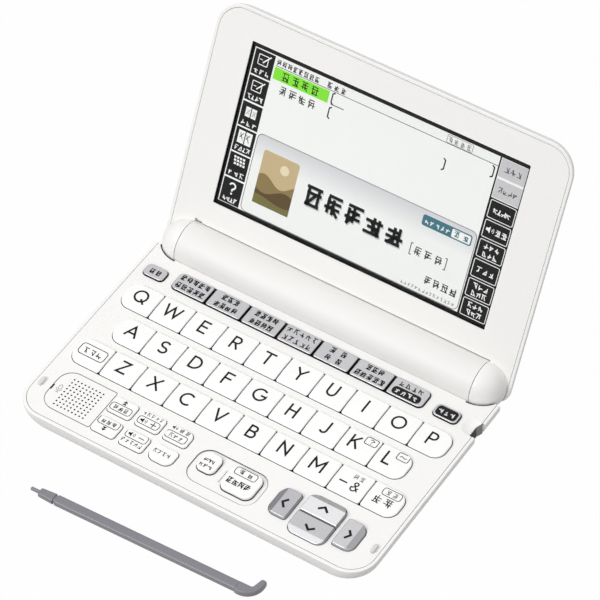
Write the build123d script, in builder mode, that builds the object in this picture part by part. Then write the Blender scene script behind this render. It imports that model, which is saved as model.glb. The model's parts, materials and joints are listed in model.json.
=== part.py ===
from build123d import *
import os
from math import cos, radians, sin

# Pocket electronic dictionary: a keyboard base, a battery barrel along its back, and a lid that turns on
# the barrel. +X is to the user's right, +Y away from the user, +Z up. The origin is on the table, under the
# middle of the closed footprint. The lid is modelled open, and a stylus lies on the table in front.

# ---------------------------------------------------------------- driving dimensions, millimetres, degrees
# Overall
case_width = 148.0          # across the rims of base and lid
case_depth = 103.7          # front edge to the back of the barrel
deck_height = 9.6           # table to the keyboard panel
foot_height = 0.6           # how far the feet stand out under the base
foot_rounding = 0.20
corner_radius = 10.7        # corners of base and lid in plan
rim_width = 1.2             # rim of the tray outside the panel or the bezel
panel_back_radius = 0.5     # corners of the deck panel by the hinge
corner_share = 0.45         # of a side, the most that a rounded corner takes
rim_rounding = 0.35         # outer top edge of the rims
panel_gap = 0.18            # all round a panel inside its rim
seat_gap = 0.1              # between fixed pieces that lie beside each other

# Base tray
tray_band = 1.2             # upright part of the tray's wall
tray_side_inset = 10.0      # how far the curved underside draws in at the sides
tray_front_inset = 4.2      # and at the front
tray_wall = 1.2
tray_back_setback = 5.0     # hinge axis to the end of the tray
panel_thickness = 1.2
hull_steps = 4              # sections from the band to the flat of the underside

# Battery barrel and hinge
barrel_radius = 8.9
barrel_wall = 1.3
barrel_inset = 10.9         # side of the case to the end of the barrel
barrel_rise = 0.5           # hinge axis above the panel
cap_gap = 0.3               # barrel end to lid cap
cap_length = 9.35           # how far a lid cap reaches out from its flat face
cap_clearance = 0.85        # round a lid cap, in the base
pin_radius = 3.0
pin_clearance = 0.1
pin_barrel_grip = 7.5       # length of a pin inside the barrel's end plug
pin_cap_grip = 5.6          # length of a pin inside a lid cap
cable_radius = 1.4
cable_clearance = 0.25
end_plug_length = 9.6       # solid end of the barrel that carries a pin

# Cells
cell_radius = 7.1
cell_end_room = 2.8         # contact plate and spring beside the two cells
cell_nub_radius = 2.7
cell_nub_length = 1.2
contact_thickness = 0.5
contact_margin = 0.8        # contact plate smaller than the bore, in radius

# Battery door, an arc of the barrel wall below and behind the axis
door_inset = 11.1           # end of the barrel to the end of the door
door_front = 1.5            # front edge of the door behind the axis
door_top = 3.9              # top edge of the door below the axis
door_gap = 0.25

# Lid
lid_open_angle = 118.7
lid_reach = 94.75           # hinge axis to the lid's far edge
lid_tail = 4.8              # how far the lid reaches past the axis, beside the barrel
lid_thickness = 5.6
lid_face_rise = 1.4         # lid face from the hinge axis when closed
lid_band = 0.7
lid_side_inset = 9.0
lid_end_inset = 2.6
lid_tail_inset = 1.5
lid_tail_radius = 5.5       # corners of the lid beside the caps
lid_wall = 1.2
bezel_thickness = 1.2
lid_barrel_gap = 0.3        # between the lid and the barrel
lid_notch_length = 3.2      # notch in the bezel at the left end of the barrel
lid_notch_depth = 0.9

# Display
screen_side_margin = 16.0   # side of the case to the screen
screen_top_margin = 11.35   # screen to the lid's far edge
screen_low = 18.7           # hinge axis to the bottom of the screen
screen_radius = 0.4
glass_recess = 0.45         # glass behind the bezel's face
glass_margin = 1.2          # glass beyond the screen opening, all round
module_margin = 2.2         # display module beyond the screen opening
module_gap = 0.1
module_thickness = 2.3

# Letter keys
row_margin = 4.85           # side of the case to the end of the longest letter row
longest_row_keys = 10
letter_row_count = 3
row_gap = 3.69              # between letter rows
rows_forward = 27.22        # front edge to the front of the last letter row
key_gap = 0.5               # between neighbours in a row
key_clearance = 0.28        # round a key in its window
rows_setback = 25.4         # hinge axis to the back of the first row
row_end_radius = 4.4
key_radius = 0.8
key_rise_back = 0.95        # key top above the panel, back part
key_rise_front = 0.4        # and at its front edge
key_ridge = 0.58            # part of the key's depth that is level
key_ridge_radius = 9.0
key_edge = 0.3              # rounding of the key tops
key_travel = 0.6
flange_width = 0.7
flange_thickness = 0.6
flange_gap = 0.15           # flange to the underside of the panel
dome_gap = 0.65             # flange to the dome sheet, a little more than the travel

# Function row, measured from the back of the first letter row
function_row_margins = 39.5  # width of the case that the function row leaves free
function_key_count = 7
function_key_depth = 8.0
function_key_gap = 0.8
function_row_forward = 8.6
function_row_shift = -2.9
function_key_radius = 2.0
function_key_rise = 0.8
small_end_key_depth = 5.4
end_key_forward = 7.45
power_key_width = 8.9
power_key_inset = 9.0       # side of the case to the middle of the key
home_key_width = 9.9
home_key_inset = 13.9
end_key_radius = 1.7

# Front row. Its groups share out the width that they leave free
left_room = 5.2             # least width beside the speaker pad, for a rest
right_room = 6.3            # and beside the cursor keys
left_share = 0.156          # of the free width, beside the speaker pad
dish_share = 0.329          # between the small keys and the dish
cursor_share = 0.306        # between the dish and the cursor keys

# Speaker pad and the small keys, measured from the front edge
pad_width = 22.5
pad_depth = 18.4
pad_forward = 14.65
pad_left_radius = 6.0
pad_right_radius = 0.9
groove_width = 0.4
groove_depth = 0.4
grille_count = 9
grille_pitch = 1.58
grille_hole_radius = 0.36
grille_shift = 0.58         # grille to the right of the pad's middle
grille_forward = 14.3
microphone_inset = 0.45     # microphone slot inside the pad's edge
microphone_length = 2.3
microphone_width = 0.55
microphone_forward = 0.2    # microphone slot in front of the middle of the grille
small_key_width = 9.9
small_key_depth = 7.1
small_key_pitch_x = 12.0
small_key_pitch_y = 9.85
small_keys_gap = 0.45       # speaker pad to the small keys
small_keys_forward = 13.9
small_key_radius = 1.3
jump_key_radius = 3.3
small_key_rise = 0.75

# Back and enter keys in their dish, measured from the front edge
dish_width = 29.1
dish_depth = 15.4
dish_forward = 13.05
dish_radius = 5.2
dish_sink = 0.4
dish_groove_depth = 0.3     # groove along the edge of the dish
back_key_width = 7.5
back_key_depth = 8.3
back_key_offset = 8.6       # back key left of the middle of the dish
back_key_shift = 1.7        # back key behind the middle of the dish
back_key_radius = 2.4
enter_key_width = 13.0
enter_key_depth = 11.2
enter_key_offset = 5.85     # enter key right of it
enter_key_shift = 0.35
enter_key_radius = 3.0
dish_key_rise = 0.9
divider_offset = 1.85       # divider left of it
divider_length = 5.6
divider_width = 0.3
divider_height = 0.28
divider_shift = -0.3

# Cursor keys, measured from the front edge
cursor_forward = 14.05
side_cursor_width = 8.0
side_cursor_depth = 12.0
side_cursor_offset = 13.6
up_cursor_width = 15.0
up_cursor_depth = 8.9
cursor_split = 0.7
cursor_rise = 1.4
cursor_slope_width = 2.3
cursor_slope_drop = 1.0
cursor_radius = 3.2
cursor_root_radius = 0.1    # and beside the middle of the cross
cursor_inner_radius = 0.9

# Deck rests
rest_inset = 3.7            # side of the case to the middle of a rest
rest_forward = 13.9
rest_length = 3.9
rest_width = 1.6
rest_rounding = 0.4
rest_rise = 1.1

# Stylus, its bay in the base and the notch that opens it
stylus_width = 4.0
stylus_thickness = 2.7
stylus_corner = 1.0         # rounding of the shaft's section
stylus_tip_radius = 0.7
stylus_tip_rounding = 0.3
stylus_tip_length = 3.6
stylus_nose_length = 6.3
stylus_nose_inset = 0.4     # nose drawn in at its front end
stylus_nose_rounding = 0.7
stylus_groove_width = 1.0
stylus_groove_depth = 0.6
stylus_shaft_length = 74.6
stylus_hook_radius = 6.9    # outer curve of the hook
stylus_hook_start = -106.0  # angles where that curve starts and ends
stylus_hook_end = 16.0
stylus_hook_offset = 4.5    # centre of the curve beside the middle of the shaft
stylus_hook_forward = 1.45  # and beyond the end of the shaft
stylus_neck_length = 4.9    # shaft side past the end of the shaft, to the horn
stylus_horn_width = 2.0
stylus_hook_edge = 0.85
stylus_turn = 2.0           # angle on the table
stylus_tip_x = -49.8
stylus_tip_front = 22.05    # stylus tip in front of the base
bay_gap = 0.15              # round the stylus in its sleeve
sleeve_wall = 0.3
sleeve_length = 84.0
bay_forward = 7.2           # bay behind the back of the first letter row
notch_length = 7.2          # in the rim
notch_inner_length = 4.6    # and at its inner end
notch_depth = 2.3           # notch from the side of the base
mouth_width = 2.8           # mouth of the bay in the notch, above the bore
mouth_drop = 0.4            # top of the mouth below the panel
scoop_radius = 3.7
scoop_inset = 0.9           # middle of the scoop inside the notch
scoop_depth = 0.85

# Board and what it carries
board_thickness = 0.8
board_margin = 11.5         # board inside the side of the base
board_front = 5.6           # front edge of the base to the board
board_back_gap = 0.8        # board to the tray's back wall
post_radius = 1.5           # posts under the board
post_inset = 22.0           # side of the case to the outer posts
post_forward = 31.0         # front posts from the front edge
post_back = 5.0             # back posts in front of the back of the first letter row
dome_sheet_thickness = 0.2
speaker_radius = 8.6
speaker_magnet_radius = 6.02
speaker_thickness = 2.6
speaker_room = 0.6

# Fixings and feet
boss_radius = 2.0
boss_board_gap = 0.4
screw_radius = 0.75
screw_head_radius = 1.6
screw_head_height = 0.6
screw_hole_gap = 0.2
thread_gap = 0.03
screw_bite = 3.2            # screw shank above its head
side_boss_inset = 8.8       # side of the case to the side screws
front_boss_forward = 24.0   # front screws behind the front edge
front_boss_left = 6.0       # left front screw from the middle of the dish
front_boss_right = 16.2     # and the right one
foot_radius = 3.6
foot_inset_x = 17.0         # feet from the side of the base
foot_front = 12.0           # front feet from the front edge
foot_back = 13.5            # back feet in front of the hinge axis
foot_seat = 0.3             # how far a foot sits in the tray

# Ports in the left side
port_height = 2.6
jack_radius = 2.4
jack_bore_radius = 1.77
jack_length = 8.0
jack_setback = 34.0         # from the hinge axis
data_port_width = 6.8
data_port_wall = 0.45
data_port_length = 8.0
data_port_setback = 60.0
port_drop = 5.0             # port centres below the panel
port_gap = 0.15

# ---------------------------------------------------------------- derived places
quarter_turn = 90.0
half_width = case_width / 2
front_y = -case_depth / 2
axis_y = case_depth / 2 - barrel_radius
axis_z = deck_height + barrel_rise
rows_back_y = axis_y - rows_setback
tray_back_y = axis_y - tray_back_setback
tray_drop = deck_height - foot_height - tray_band
tray_floor = foot_height + tray_wall
panel_under = deck_height - panel_thickness
half_barrel = half_width - barrel_inset
door_length = 2 * (half_barrel - door_inset)
cap_face_x = half_barrel + cap_gap
bore_radius = barrel_radius - barrel_wall
bore_half = half_barrel - end_plug_length
cell_length = bore_half - cell_end_room - cell_nub_length
screen_width = case_width - 2 * screen_side_margin
screen_height = lid_reach - screen_top_margin - screen_low
lid_angle = 180.0 - lid_open_angle

key_pitch = (case_width - 2 * row_margin) / longest_row_keys
rows_depth = rows_back_y - front_y - rows_forward
key_depth = (rows_depth - (letter_row_count - 1) * row_gap) / letter_row_count
row_pitch = key_depth + row_gap
function_key_pitch = (case_width - function_row_margins) / function_key_count
power_key_x = power_key_inset - half_width
home_key_x = half_width - home_key_inset

small_keys_width = 2 * small_key_pitch_x + small_key_width
cursor_half = side_cursor_offset + side_cursor_width / 2
front_row_width = pad_width + small_keys_gap + small_keys_width + dish_width + 2 * cursor_half
free_width = case_width - front_row_width - left_room - right_room
pad_x = left_room + left_share * free_width + pad_width / 2 - half_width
small_keys_x = pad_x + (pad_width + small_keys_width) / 2 + small_keys_gap
dish_x = small_keys_x + dish_share * free_width + (small_keys_width + dish_width) / 2
cursor_x = dish_x + cursor_share * free_width + dish_width / 2 + cursor_half
grille_x = pad_x + grille_shift
microphone_x = pad_x - pad_width / 2 + microphone_inset
back_key_x = dish_x - back_key_offset
enter_key_x = dish_x + enter_key_offset
divider_x = dish_x - divider_offset
rest_x = half_width - rest_inset
post_x = half_width - post_inset
side_boss_x = half_width - side_boss_inset
front_boss_left_x = dish_x - front_boss_left
front_boss_right_x = dish_x + front_boss_right

flange_top = panel_under - flange_gap
flange_low = flange_top - flange_thickness
dome_sheet_top = flange_low - dome_gap
board_top = dome_sheet_top - dome_sheet_thickness
board_low = board_top - board_thickness

axis_plane = Plane((0, axis_y, axis_z))
hinge_axis = Axis((0, axis_y, axis_z), (1, 0, 0))
deck_plane = Plane.XY.offset(deck_height)
flange_plane = Plane.XY.offset(flange_low)
barrel_plane = Plane((0, axis_y, axis_z), x_dir=(0, 1, 0), z_dir=(1, 0, 0))
lid_plane = Plane(
    (0, axis_y, axis_z),
    x_dir=(1, 0, 0),
    z_dir=(0, -sin(radians(lid_angle)), cos(radians(lid_angle))),
)
lid_face = lid_plane.offset(-lid_face_rise)

os.makedirs("parts", exist_ok=True)


# ---------------------------------------------------------------- helpers
def save(part, name):
    """Label a finished piece and write it under its node name."""
    part.label = name
    export_step(part, "parts/" + name + ".step")


def outline(plane, x, y, width, depth, radii):
    """A rectangle with its own radius at the back-left, back-right, front-right and front-left."""
    signs = [(-1, 1), (1, 1), (1, -1), (-1, -1)]
    with BuildSketch(plane) as shape:
        with Locations((x, y)):
            Rectangle(width, depth)
        for (side, end), radius in zip(signs, radii):
            place = (x + side * width / 2, y + end * depth / 2)
            corner = shape.vertices().sort_by_distance(place)[0]
            fillet(corner, min(radius, corner_share * width, corner_share * depth))
    return shape.sketch


def curved_tray(face, width, low, high, radii, band, drop, side_inset, low_inset, high_inset):
    """A tray shape: upright for the band, then curving in under itself like a quarter ellipse."""
    sections = []
    with BuildPart() as tray:
        extrude(outline(face, 0, (low + high) / 2, width, high - low, radii), amount=-band)
        for step in range(hull_steps + 1):
            turn = radians(quarter_turn * step / hull_steps)
            drawn_in = 1 - cos(turn)
            section_low = low + low_inset * drawn_in
            section_high = high - high_inset * drawn_in
            section = outline(
                face.offset(-band - drop * sin(turn)),
                0,
                (section_low + section_high) / 2,
                width - 2 * side_inset * drawn_in,
                section_high - section_low,
                radii,
            )
            sections.append(section)
        loft(sections)
    return tray.part


def cap_shape(side, grow):
    """The domed hinge cap of the lid: half an ellipsoid turned about the hinge axis."""
    face_x = side * (cap_face_x - grow)
    with BuildPart() as cap:
        with BuildSketch(axis_plane):
            with BuildLine():
                Line((face_x, 0), (face_x + side * (cap_length + 2 * grow), 0))
                EllipticalCenterArc(
                    (face_x, 0),
                    cap_length + 2 * grow,
                    barrel_radius + grow,
                    start_angle=0 if side > 0 else quarter_turn,
                    arc_size=quarter_turn,
                )
                Line((face_x, barrel_radius + grow), (face_x, 0))
            make_face()
        revolve(axis=hinge_axis)
    return cap.part


def barrel_shape(radius, half_length):
    """A plain cylinder on the hinge axis."""
    with BuildPart() as cylinder:
        with BuildSketch(barrel_plane.offset(-half_length)):
            Circle(radius)
        extrude(amount=2 * half_length)
    return cylinder.part


def notch_shape():
    """Plan of the stylus notch in the right side, seen on the deck."""
    front = bay_y - notch_length / 2
    inner_x = half_width - notch_depth
    with BuildSketch(deck_plane) as shape:
        with BuildLine():
            Polyline(
                (half_width + notch_depth, front),
                (half_width + notch_depth, front + notch_length),
                (half_width - rim_width, front + notch_length),
                (inner_x, front + notch_inner_length),
                (inner_x, front),
                close=True,
            )
        make_face()
    return shape.sketch


def screw_places():
    """Centres of the case screws."""
    side_y = rows_back_y - row_pitch - key_depth / 2
    front_boss_y = front_y + front_boss_forward
    return [
        (-side_boss_x, side_y),
        (side_boss_x, side_y),
        (front_boss_left_x, front_boss_y),
        (front_boss_right_x, front_boss_y),
    ]


def post_places():
    """Centres of the posts that carry the board."""
    places = []
    for x in (-post_x, 0, post_x):
        places.append((x, front_y + post_forward))
        places.append((x, rows_back_y - post_back))
    return places


def foot_places():
    """Centres of the feet."""
    x = half_width - foot_inset_x
    return [
        (-x, front_y + foot_front),
        (x, front_y + foot_front),
        (-x, axis_y - foot_back),
        (x, axis_y - foot_back),
    ]


# ---------------------------------------------------------------- base: lower case
tray_far_y = tray_back_y + 2 * corner_radius
tray_outer = curved_tray(
    deck_plane, case_width, front_y, tray_far_y, [corner_radius] * 4,
    tray_band, tray_drop, tray_side_inset, tray_front_inset, 0,
)
tray_inner = curved_tray(
    deck_plane, case_width - 2 * rim_width, front_y + rim_width, tray_far_y,
    [corner_radius - rim_width] * 4, tray_band, tray_drop - tray_wall, tray_side_inset, tray_front_inset, 0,
)
panel_face = outline(
    Plane.XY.offset(panel_under),
    0,
    (front_y + rim_width + tray_far_y) / 2,
    case_width - 2 * rim_width,
    tray_far_y - front_y - rim_width,
    [panel_back_radius] * 2 + [corner_radius - rim_width] * 2,
)
bay_y = rows_back_y + bay_forward
bay_width = stylus_width + 2 * bay_gap
bay_height = stylus_thickness + 2 * bay_gap
sleeve_z = tray_floor + seat_gap / 2 + sleeve_wall + bay_height / 2
jack_y = axis_y - jack_setback
data_port_y = axis_y - data_port_setback
port_z = deck_height - port_drop

with BuildPart() as back_room:
    add(barrel_shape(barrel_radius + seat_gap, cap_face_x))
    with BuildSketch(Plane.XZ.offset(-tray_back_y)):
        with Locations((0, axis_z)):
            Rectangle(2 * case_width, 4 * axis_z)
    extrude(amount=-2 * corner_radius)

with BuildPart() as cavity:
    add(tray_inner)
    add(barrel_shape(barrel_radius + seat_gap + tray_wall, cap_face_x), mode=Mode.SUBTRACT)
    add(cap_shape(1, cap_clearance + tray_wall), mode=Mode.SUBTRACT)
    add(cap_shape(-1, cap_clearance + tray_wall), mode=Mode.SUBTRACT)
    split(bisect_by=Plane.XZ.offset(-(tray_back_y - tray_wall)), keep=Keep.TOP)

with BuildPart() as notch_block:
    with BuildSketch(Plane.XY.offset(tray_floor)):
        with Locations((half_width, bay_y)):
            Rectangle(2 * (notch_depth + tray_wall), notch_length + 2 * tray_wall)
    extrude(amount=panel_under - seat_gap - tray_floor)
    add(tray_outer, mode=Mode.INTERSECT)

with BuildPart() as lower_case:
    add(tray_outer)
    fillet(
        lower_case.edges().filter_by_position(Axis.Z, deck_height, deck_height), radius=rim_rounding
    )
    add(cavity.part, mode=Mode.SUBTRACT)
    extrude(panel_face, amount=2 * panel_thickness, mode=Mode.SUBTRACT)
    add(back_room.part, mode=Mode.SUBTRACT)
    add(cap_shape(1, cap_clearance), mode=Mode.SUBTRACT)
    add(cap_shape(-1, cap_clearance), mode=Mode.SUBTRACT)
    # stylus notch in the right rim, with walls of its own, and the bore that leads in from it
    add(notch_block.part)
    extrude(notch_shape(), amount=-(deck_height - sleeve_z), mode=Mode.SUBTRACT)
    with BuildSketch(Plane.YZ.offset(half_width)):
        with Locations((bay_y, sleeve_z)):
            RectangleRounded(bay_width, bay_height, stylus_corner)
    extrude(amount=-2 * tray_side_inset, mode=Mode.SUBTRACT)
    mouth_height = panel_under - mouth_drop - sleeve_z
    with BuildSketch(Plane.YZ.offset(half_width)):
        with Locations((bay_y - (notch_length - notch_inner_length) / 2, sleeve_z + mouth_height / 2)):
            Rectangle(mouth_width, mouth_height)
    extrude(amount=-tray_side_inset, mode=Mode.SUBTRACT)
    # ports in the left wall
    with BuildSketch(Plane.YZ.offset(-half_width)):
        with Locations((jack_y, port_z)):
            Circle(jack_radius + port_gap)
        with Locations((data_port_y, port_z)):
            Rectangle(data_port_width + 2 * port_gap, port_height + 2 * port_gap)
    extrude(amount=tray_side_inset, mode=Mode.SUBTRACT)
    # posts under the board
    with BuildSketch(Plane.XY.offset(tray_floor - tray_wall / 2)):
        with Locations(post_places()):
            Circle(post_radius)
    extrude(amount=board_low - tray_floor + tray_wall / 2)
    # screw holes with a seat for the heads, and the seats of the feet
    with BuildSketch(Plane.XY):
        with Locations(screw_places()):
            Circle(screw_radius + screw_hole_gap)
    extrude(amount=deck_height, mode=Mode.SUBTRACT)
    with BuildSketch(Plane.XY):
        with Locations(screw_places()):
            Circle(screw_head_radius + screw_hole_gap)
    extrude(amount=foot_height + screw_head_height, mode=Mode.SUBTRACT)
    with BuildSketch(Plane.XY):
        with Locations(foot_places()):
            Circle(foot_radius)
    extrude(amount=foot_height + foot_seat, mode=Mode.SUBTRACT)
save(lower_case.part, "lower_case")


# ---------------------------------------------------------------- places and sizes of the keys
letter_rows = [
    ["q", "w", "e", "r", "t", "y", "u", "i", "o", "p"],
    ["a", "s", "d", "f", "g", "h", "j", "k", "l"],
    ["shift", "z", "x", "c", "v", "b", "n", "m", "minus", "delete"],
]
function_y = rows_back_y + function_row_forward
end_key_y = rows_back_y + end_key_forward
small_keys_y = front_y + small_keys_forward
dish_y = front_y + dish_forward
cursor_y = front_y + cursor_forward
up_down_offset = (up_cursor_depth + cursor_split) / 2


def row_width(count):
    """Width of a row of letter keys, ends included."""
    return count * key_pitch - key_gap


def row_y(row):
    """Middle of a letter row."""
    return rows_back_y - row * row_pitch - key_depth / 2


# name, x, y, width, depth, corner radii, height above the panel
power_key = ("key_power", power_key_x, end_key_y, power_key_width, small_end_key_depth,
             [end_key_radius] * 4, function_key_rise)
home_key = ("key_home", home_key_x, end_key_y, home_key_width, small_end_key_depth,
            [end_key_radius] * 4, function_key_rise)
back_key = ("key_back", back_key_x, dish_y + back_key_shift, back_key_width, back_key_depth,
            [back_key_radius] * 4, dish_key_rise)
enter_key = ("key_enter", enter_key_x, dish_y + enter_key_shift, enter_key_width, enter_key_depth,
             [enter_key_radius] * 4, dish_key_rise)
single_keys = [power_key, home_key, back_key, enter_key]

small_key_places = []
for column in (-1, 0, 1):
    for line in (1, -1):
        radii = [small_key_radius] * 4
        if column == 1 and line == 1:
            radii = [small_key_radius, small_key_radius * 2, small_key_radius, small_key_radius]
        if column == 1 and line == -1:
            radii = [small_key_radius, small_key_radius, jump_key_radius, jump_key_radius]
        small_key_places.append(
            (small_keys_x + column * small_key_pitch_x, small_keys_y + line * small_key_pitch_y / 2, radii)
        )

# name, x, y, width, depth, corner radii, side that slopes down
cursor_keys = [
    ("key_left", cursor_x - side_cursor_offset, cursor_y, side_cursor_width, side_cursor_depth,
     [cursor_radius, cursor_inner_radius, cursor_inner_radius, cursor_radius], (-1, 0)),
    ("key_up", cursor_x, cursor_y + up_down_offset, up_cursor_width, up_cursor_depth,
     [cursor_radius] * 2 + [cursor_root_radius] * 2, (0, 1)),
    ("key_down", cursor_x, cursor_y - up_down_offset, up_cursor_width, up_cursor_depth,
     [cursor_root_radius] * 2 + [cursor_radius] * 2, (0, -1)),
    ("key_right", cursor_x + side_cursor_offset, cursor_y, side_cursor_width, side_cursor_depth,
     [cursor_inner_radius, cursor_radius, cursor_radius, cursor_inner_radius], (1, 0)),
]


def window(x, y, width, depth, radii):
    """The opening in the panel for a key or a row of keys, as a face on top of the panel."""
    grow = 2 * key_clearance
    return outline(deck_plane, x, y, width + grow, depth + grow, [r + key_clearance for r in radii])


windows = []
for row, names in enumerate(letter_rows):
    windows.append(window(0, row_y(row), row_width(len(names)), key_depth, [row_end_radius] * 4))
windows.append(
    window(
        function_row_shift, function_y, function_key_count * function_key_pitch - function_key_gap,
        function_key_depth, [function_key_radius] * 4,
    )
)
for name, x, y, width, depth, radii, rise in single_keys:
    windows.append(window(x, y, width, depth, radii))
for x, y, radii in small_key_places:
    windows.append(window(x, y, small_key_width, small_key_depth, radii))
for name, x, y, width, depth, radii, slope in (cursor_keys[0], cursor_keys[3]):
    windows.append(window(x, y, width, depth, radii))
windows.append(
    window(cursor_x, cursor_y, up_cursor_width, 2 * up_cursor_depth + cursor_split, [cursor_radius] * 4)
)


# ---------------------------------------------------------------- base: keyboard panel
pad_y = front_y + pad_forward
pad_radii = [pad_left_radius, pad_right_radius, pad_right_radius, pad_left_radius]
pad_outer = outline(deck_plane, pad_x, pad_y, pad_width, pad_depth, pad_radii)
pad_inner = outline(
    deck_plane, pad_x, pad_y, pad_width - 2 * groove_width, pad_depth - 2 * groove_width,
    [r - groove_width for r in pad_radii],
)
dish_face = outline(deck_plane, dish_x, dish_y, dish_width, dish_depth, [dish_radius] * 4)
dish_inner = outline(
    deck_plane.offset(-dish_sink), dish_x, dish_y, dish_width - 2 * groove_width,
    dish_depth - 2 * groove_width, [dish_radius - groove_width] * 4,
)
scoop_ball = (scoop_radius**2 + scoop_depth**2) / (2 * scoop_depth)
scoop_x = half_width - notch_depth - scoop_inset
grille_y = front_y + grille_forward
rest_places = [(-rest_x, front_y + rest_forward), (rest_x, front_y + rest_forward)]
panel_plan = outline(
    Plane.XY.offset(panel_under),
    0,
    (front_y + rim_width + tray_far_y) / 2,
    case_width - 2 * rim_width - 2 * panel_gap,
    tray_far_y - front_y - rim_width - 2 * panel_gap,
    [panel_back_radius] * 2 + [corner_radius - rim_width - panel_gap] * 2,
)

with BuildPart() as bosses:
    with BuildSketch(Plane.XY.offset(tray_floor)):
        with Locations(screw_places()):
            Circle(boss_radius)
    extrude(amount=panel_under - tray_floor + panel_thickness / 2)
    add(tray_inner, mode=Mode.INTERSECT)

with BuildPart() as upper_case:
    extrude(panel_plan, amount=panel_thickness)
    add(bosses.part)
    with BuildSketch(Plane.XY):
        with Locations(screw_places()):
            Circle(screw_radius + thread_gap)
    extrude(amount=foot_height + screw_head_height + screw_bite, mode=Mode.SUBTRACT)
    # dish of the back and enter keys, with the rib between them
    extrude(dish_face, amount=-dish_sink - dish_groove_depth, mode=Mode.SUBTRACT)
    extrude(dish_inner, amount=-dish_groove_depth)
    with BuildSketch(deck_plane.offset(-dish_sink)):
        with Locations((divider_x, dish_y + divider_shift)):
            Rectangle(divider_width, divider_length)
    extrude(amount=divider_height)
    for face in windows:
        extrude(face, amount=-2 * panel_thickness, mode=Mode.SUBTRACT)
    # speaker holes, the groove round them and the microphone slot
    extrude(pad_outer, amount=-groove_depth, mode=Mode.SUBTRACT)
    extrude(pad_inner, amount=-groove_depth)
    with BuildSketch(deck_plane):
        with Locations((grille_x, grille_y)):
            with GridLocations(grille_pitch, grille_pitch, grille_count, grille_count):
                Circle(grille_hole_radius)
        with Locations((microphone_x, grille_y - microphone_forward)):
            Rectangle(microphone_width, microphone_length)
    extrude(amount=-2 * panel_thickness, mode=Mode.SUBTRACT)
    # finger scoop and notch at the stylus bay, and the seats of the deck rests
    with Locations((scoop_x, bay_y, deck_height - scoop_depth + scoop_ball)):
        Sphere(scoop_ball, mode=Mode.SUBTRACT)
    extrude(notch_shape(), amount=-2 * panel_thickness, mode=Mode.SUBTRACT)
    with BuildSketch(deck_plane):
        with Locations(rest_places):
            SlotOverall(rest_length, rest_width, rotation=90)
    extrude(amount=-panel_thickness / 2, mode=Mode.SUBTRACT)
    add(back_room.part, mode=Mode.SUBTRACT)
    add(cap_shape(1, cap_clearance), mode=Mode.SUBTRACT)
    add(cap_shape(-1, cap_clearance), mode=Mode.SUBTRACT)
save(upper_case.part, "upper_case")

with BuildPart() as deck_bumpers:
    with BuildSketch(deck_plane.offset(-panel_thickness / 2)):
        with Locations(rest_places):
            SlotOverall(rest_length, rest_width, rotation=90)
    extrude(amount=panel_thickness / 2 + rest_rise)
    fillet(deck_bumpers.faces().sort_by(Axis.Z)[-2:].edges(), radius=rest_rounding)
save(deck_bumpers.part, "deck_bumpers")


# ---------------------------------------------------------------- base: inside
board_width = case_width - 2 * board_margin
board_front_y = front_y + board_front
board_back_y = axis_y - barrel_radius - seat_gap - tray_wall - board_back_gap
board_mid_y = (board_front_y + board_back_y) / 2


def board_sheet(low, thickness):
    """A flat piece with the board's outline, open at the speaker and round the bosses."""
    with BuildPart() as sheet:
        with BuildSketch(Plane.XY.offset(low)):
            with Locations((0, board_mid_y)):
                Rectangle(board_width, board_back_y - board_front_y)
            with Locations((grille_x, grille_y)):
                Circle(speaker_radius + speaker_room, mode=Mode.SUBTRACT)
                # the board's corner beyond the speaker
                Rectangle(
                    board_width, speaker_radius * 4, align=(Align.MAX, Align.MAX), mode=Mode.SUBTRACT
                )
            with Locations(screw_places()):
                Circle(boss_radius + boss_board_gap, mode=Mode.SUBTRACT)
        extrude(amount=thickness)
    return sheet.part


save(board_sheet(board_low, board_thickness), "main_board")
save(board_sheet(board_top, dome_sheet_thickness), "dome_sheet")

with BuildPart() as speaker:
    with BuildSketch(Plane.XY.offset(panel_under)):
        with Locations((grille_x, grille_y)):
            Circle(speaker_radius)
    extrude(amount=-speaker_thickness / 2)
    with BuildSketch(Plane.XY.offset(panel_under - speaker_thickness / 2)):
        with Locations((grille_x, grille_y)):
            Circle(speaker_magnet_radius)
    extrude(amount=-speaker_thickness / 2)
save(speaker.part, "speaker")

sleeve_mouth_x = half_width - tray_side_inset - tray_wall - seat_gap
with BuildPart() as stylus_sleeve:
    with BuildSketch(Plane.YZ.offset(sleeve_mouth_x)):
        with Locations((bay_y, sleeve_z)):
            Rectangle(bay_width + 2 * sleeve_wall, bay_height + 2 * sleeve_wall)
            RectangleRounded(bay_width, bay_height, stylus_corner, mode=Mode.SUBTRACT)
    extrude(amount=-sleeve_length)
save(stylus_sleeve.part, "stylus_sleeve")

with BuildPart() as side_ports:
    port_plane = Plane.YZ.offset(-half_width)
    with BuildSketch(port_plane):
        with Locations((jack_y, port_z)):
            Circle(jack_radius)
            Circle(jack_bore_radius, mode=Mode.SUBTRACT)
    extrude(amount=jack_length)
    with BuildSketch(port_plane):
        with Locations((data_port_y, port_z)):
            Rectangle(data_port_width, port_height)
            Rectangle(
                data_port_width - 2 * data_port_wall, port_height - 2 * data_port_wall, mode=Mode.SUBTRACT
            )
    extrude(amount=data_port_length)
    add(tray_outer, mode=Mode.INTERSECT)
save(side_ports.part, "side_ports")

with BuildPart() as case_screws:
    with BuildSketch(Plane.XY.offset(foot_height)):
        with Locations(screw_places()):
            Circle(screw_head_radius)
    extrude(amount=screw_head_height)
    with BuildSketch(Plane.XY.offset(foot_height + screw_head_height)):
        with Locations(screw_places()):
            Circle(screw_radius)
    extrude(amount=screw_bite)
save(case_screws.part, "case_screws")

with BuildPart() as rubber_feet:
    with BuildSketch(Plane.XY):
        with Locations(foot_places()):
            Circle(foot_radius)
    extrude(amount=foot_height + foot_seat)
    fillet(rubber_feet.edges().filter_by_position(Axis.Z, 0, 0), radius=foot_rounding)
save(rubber_feet.part, "rubber_feet")


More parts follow.
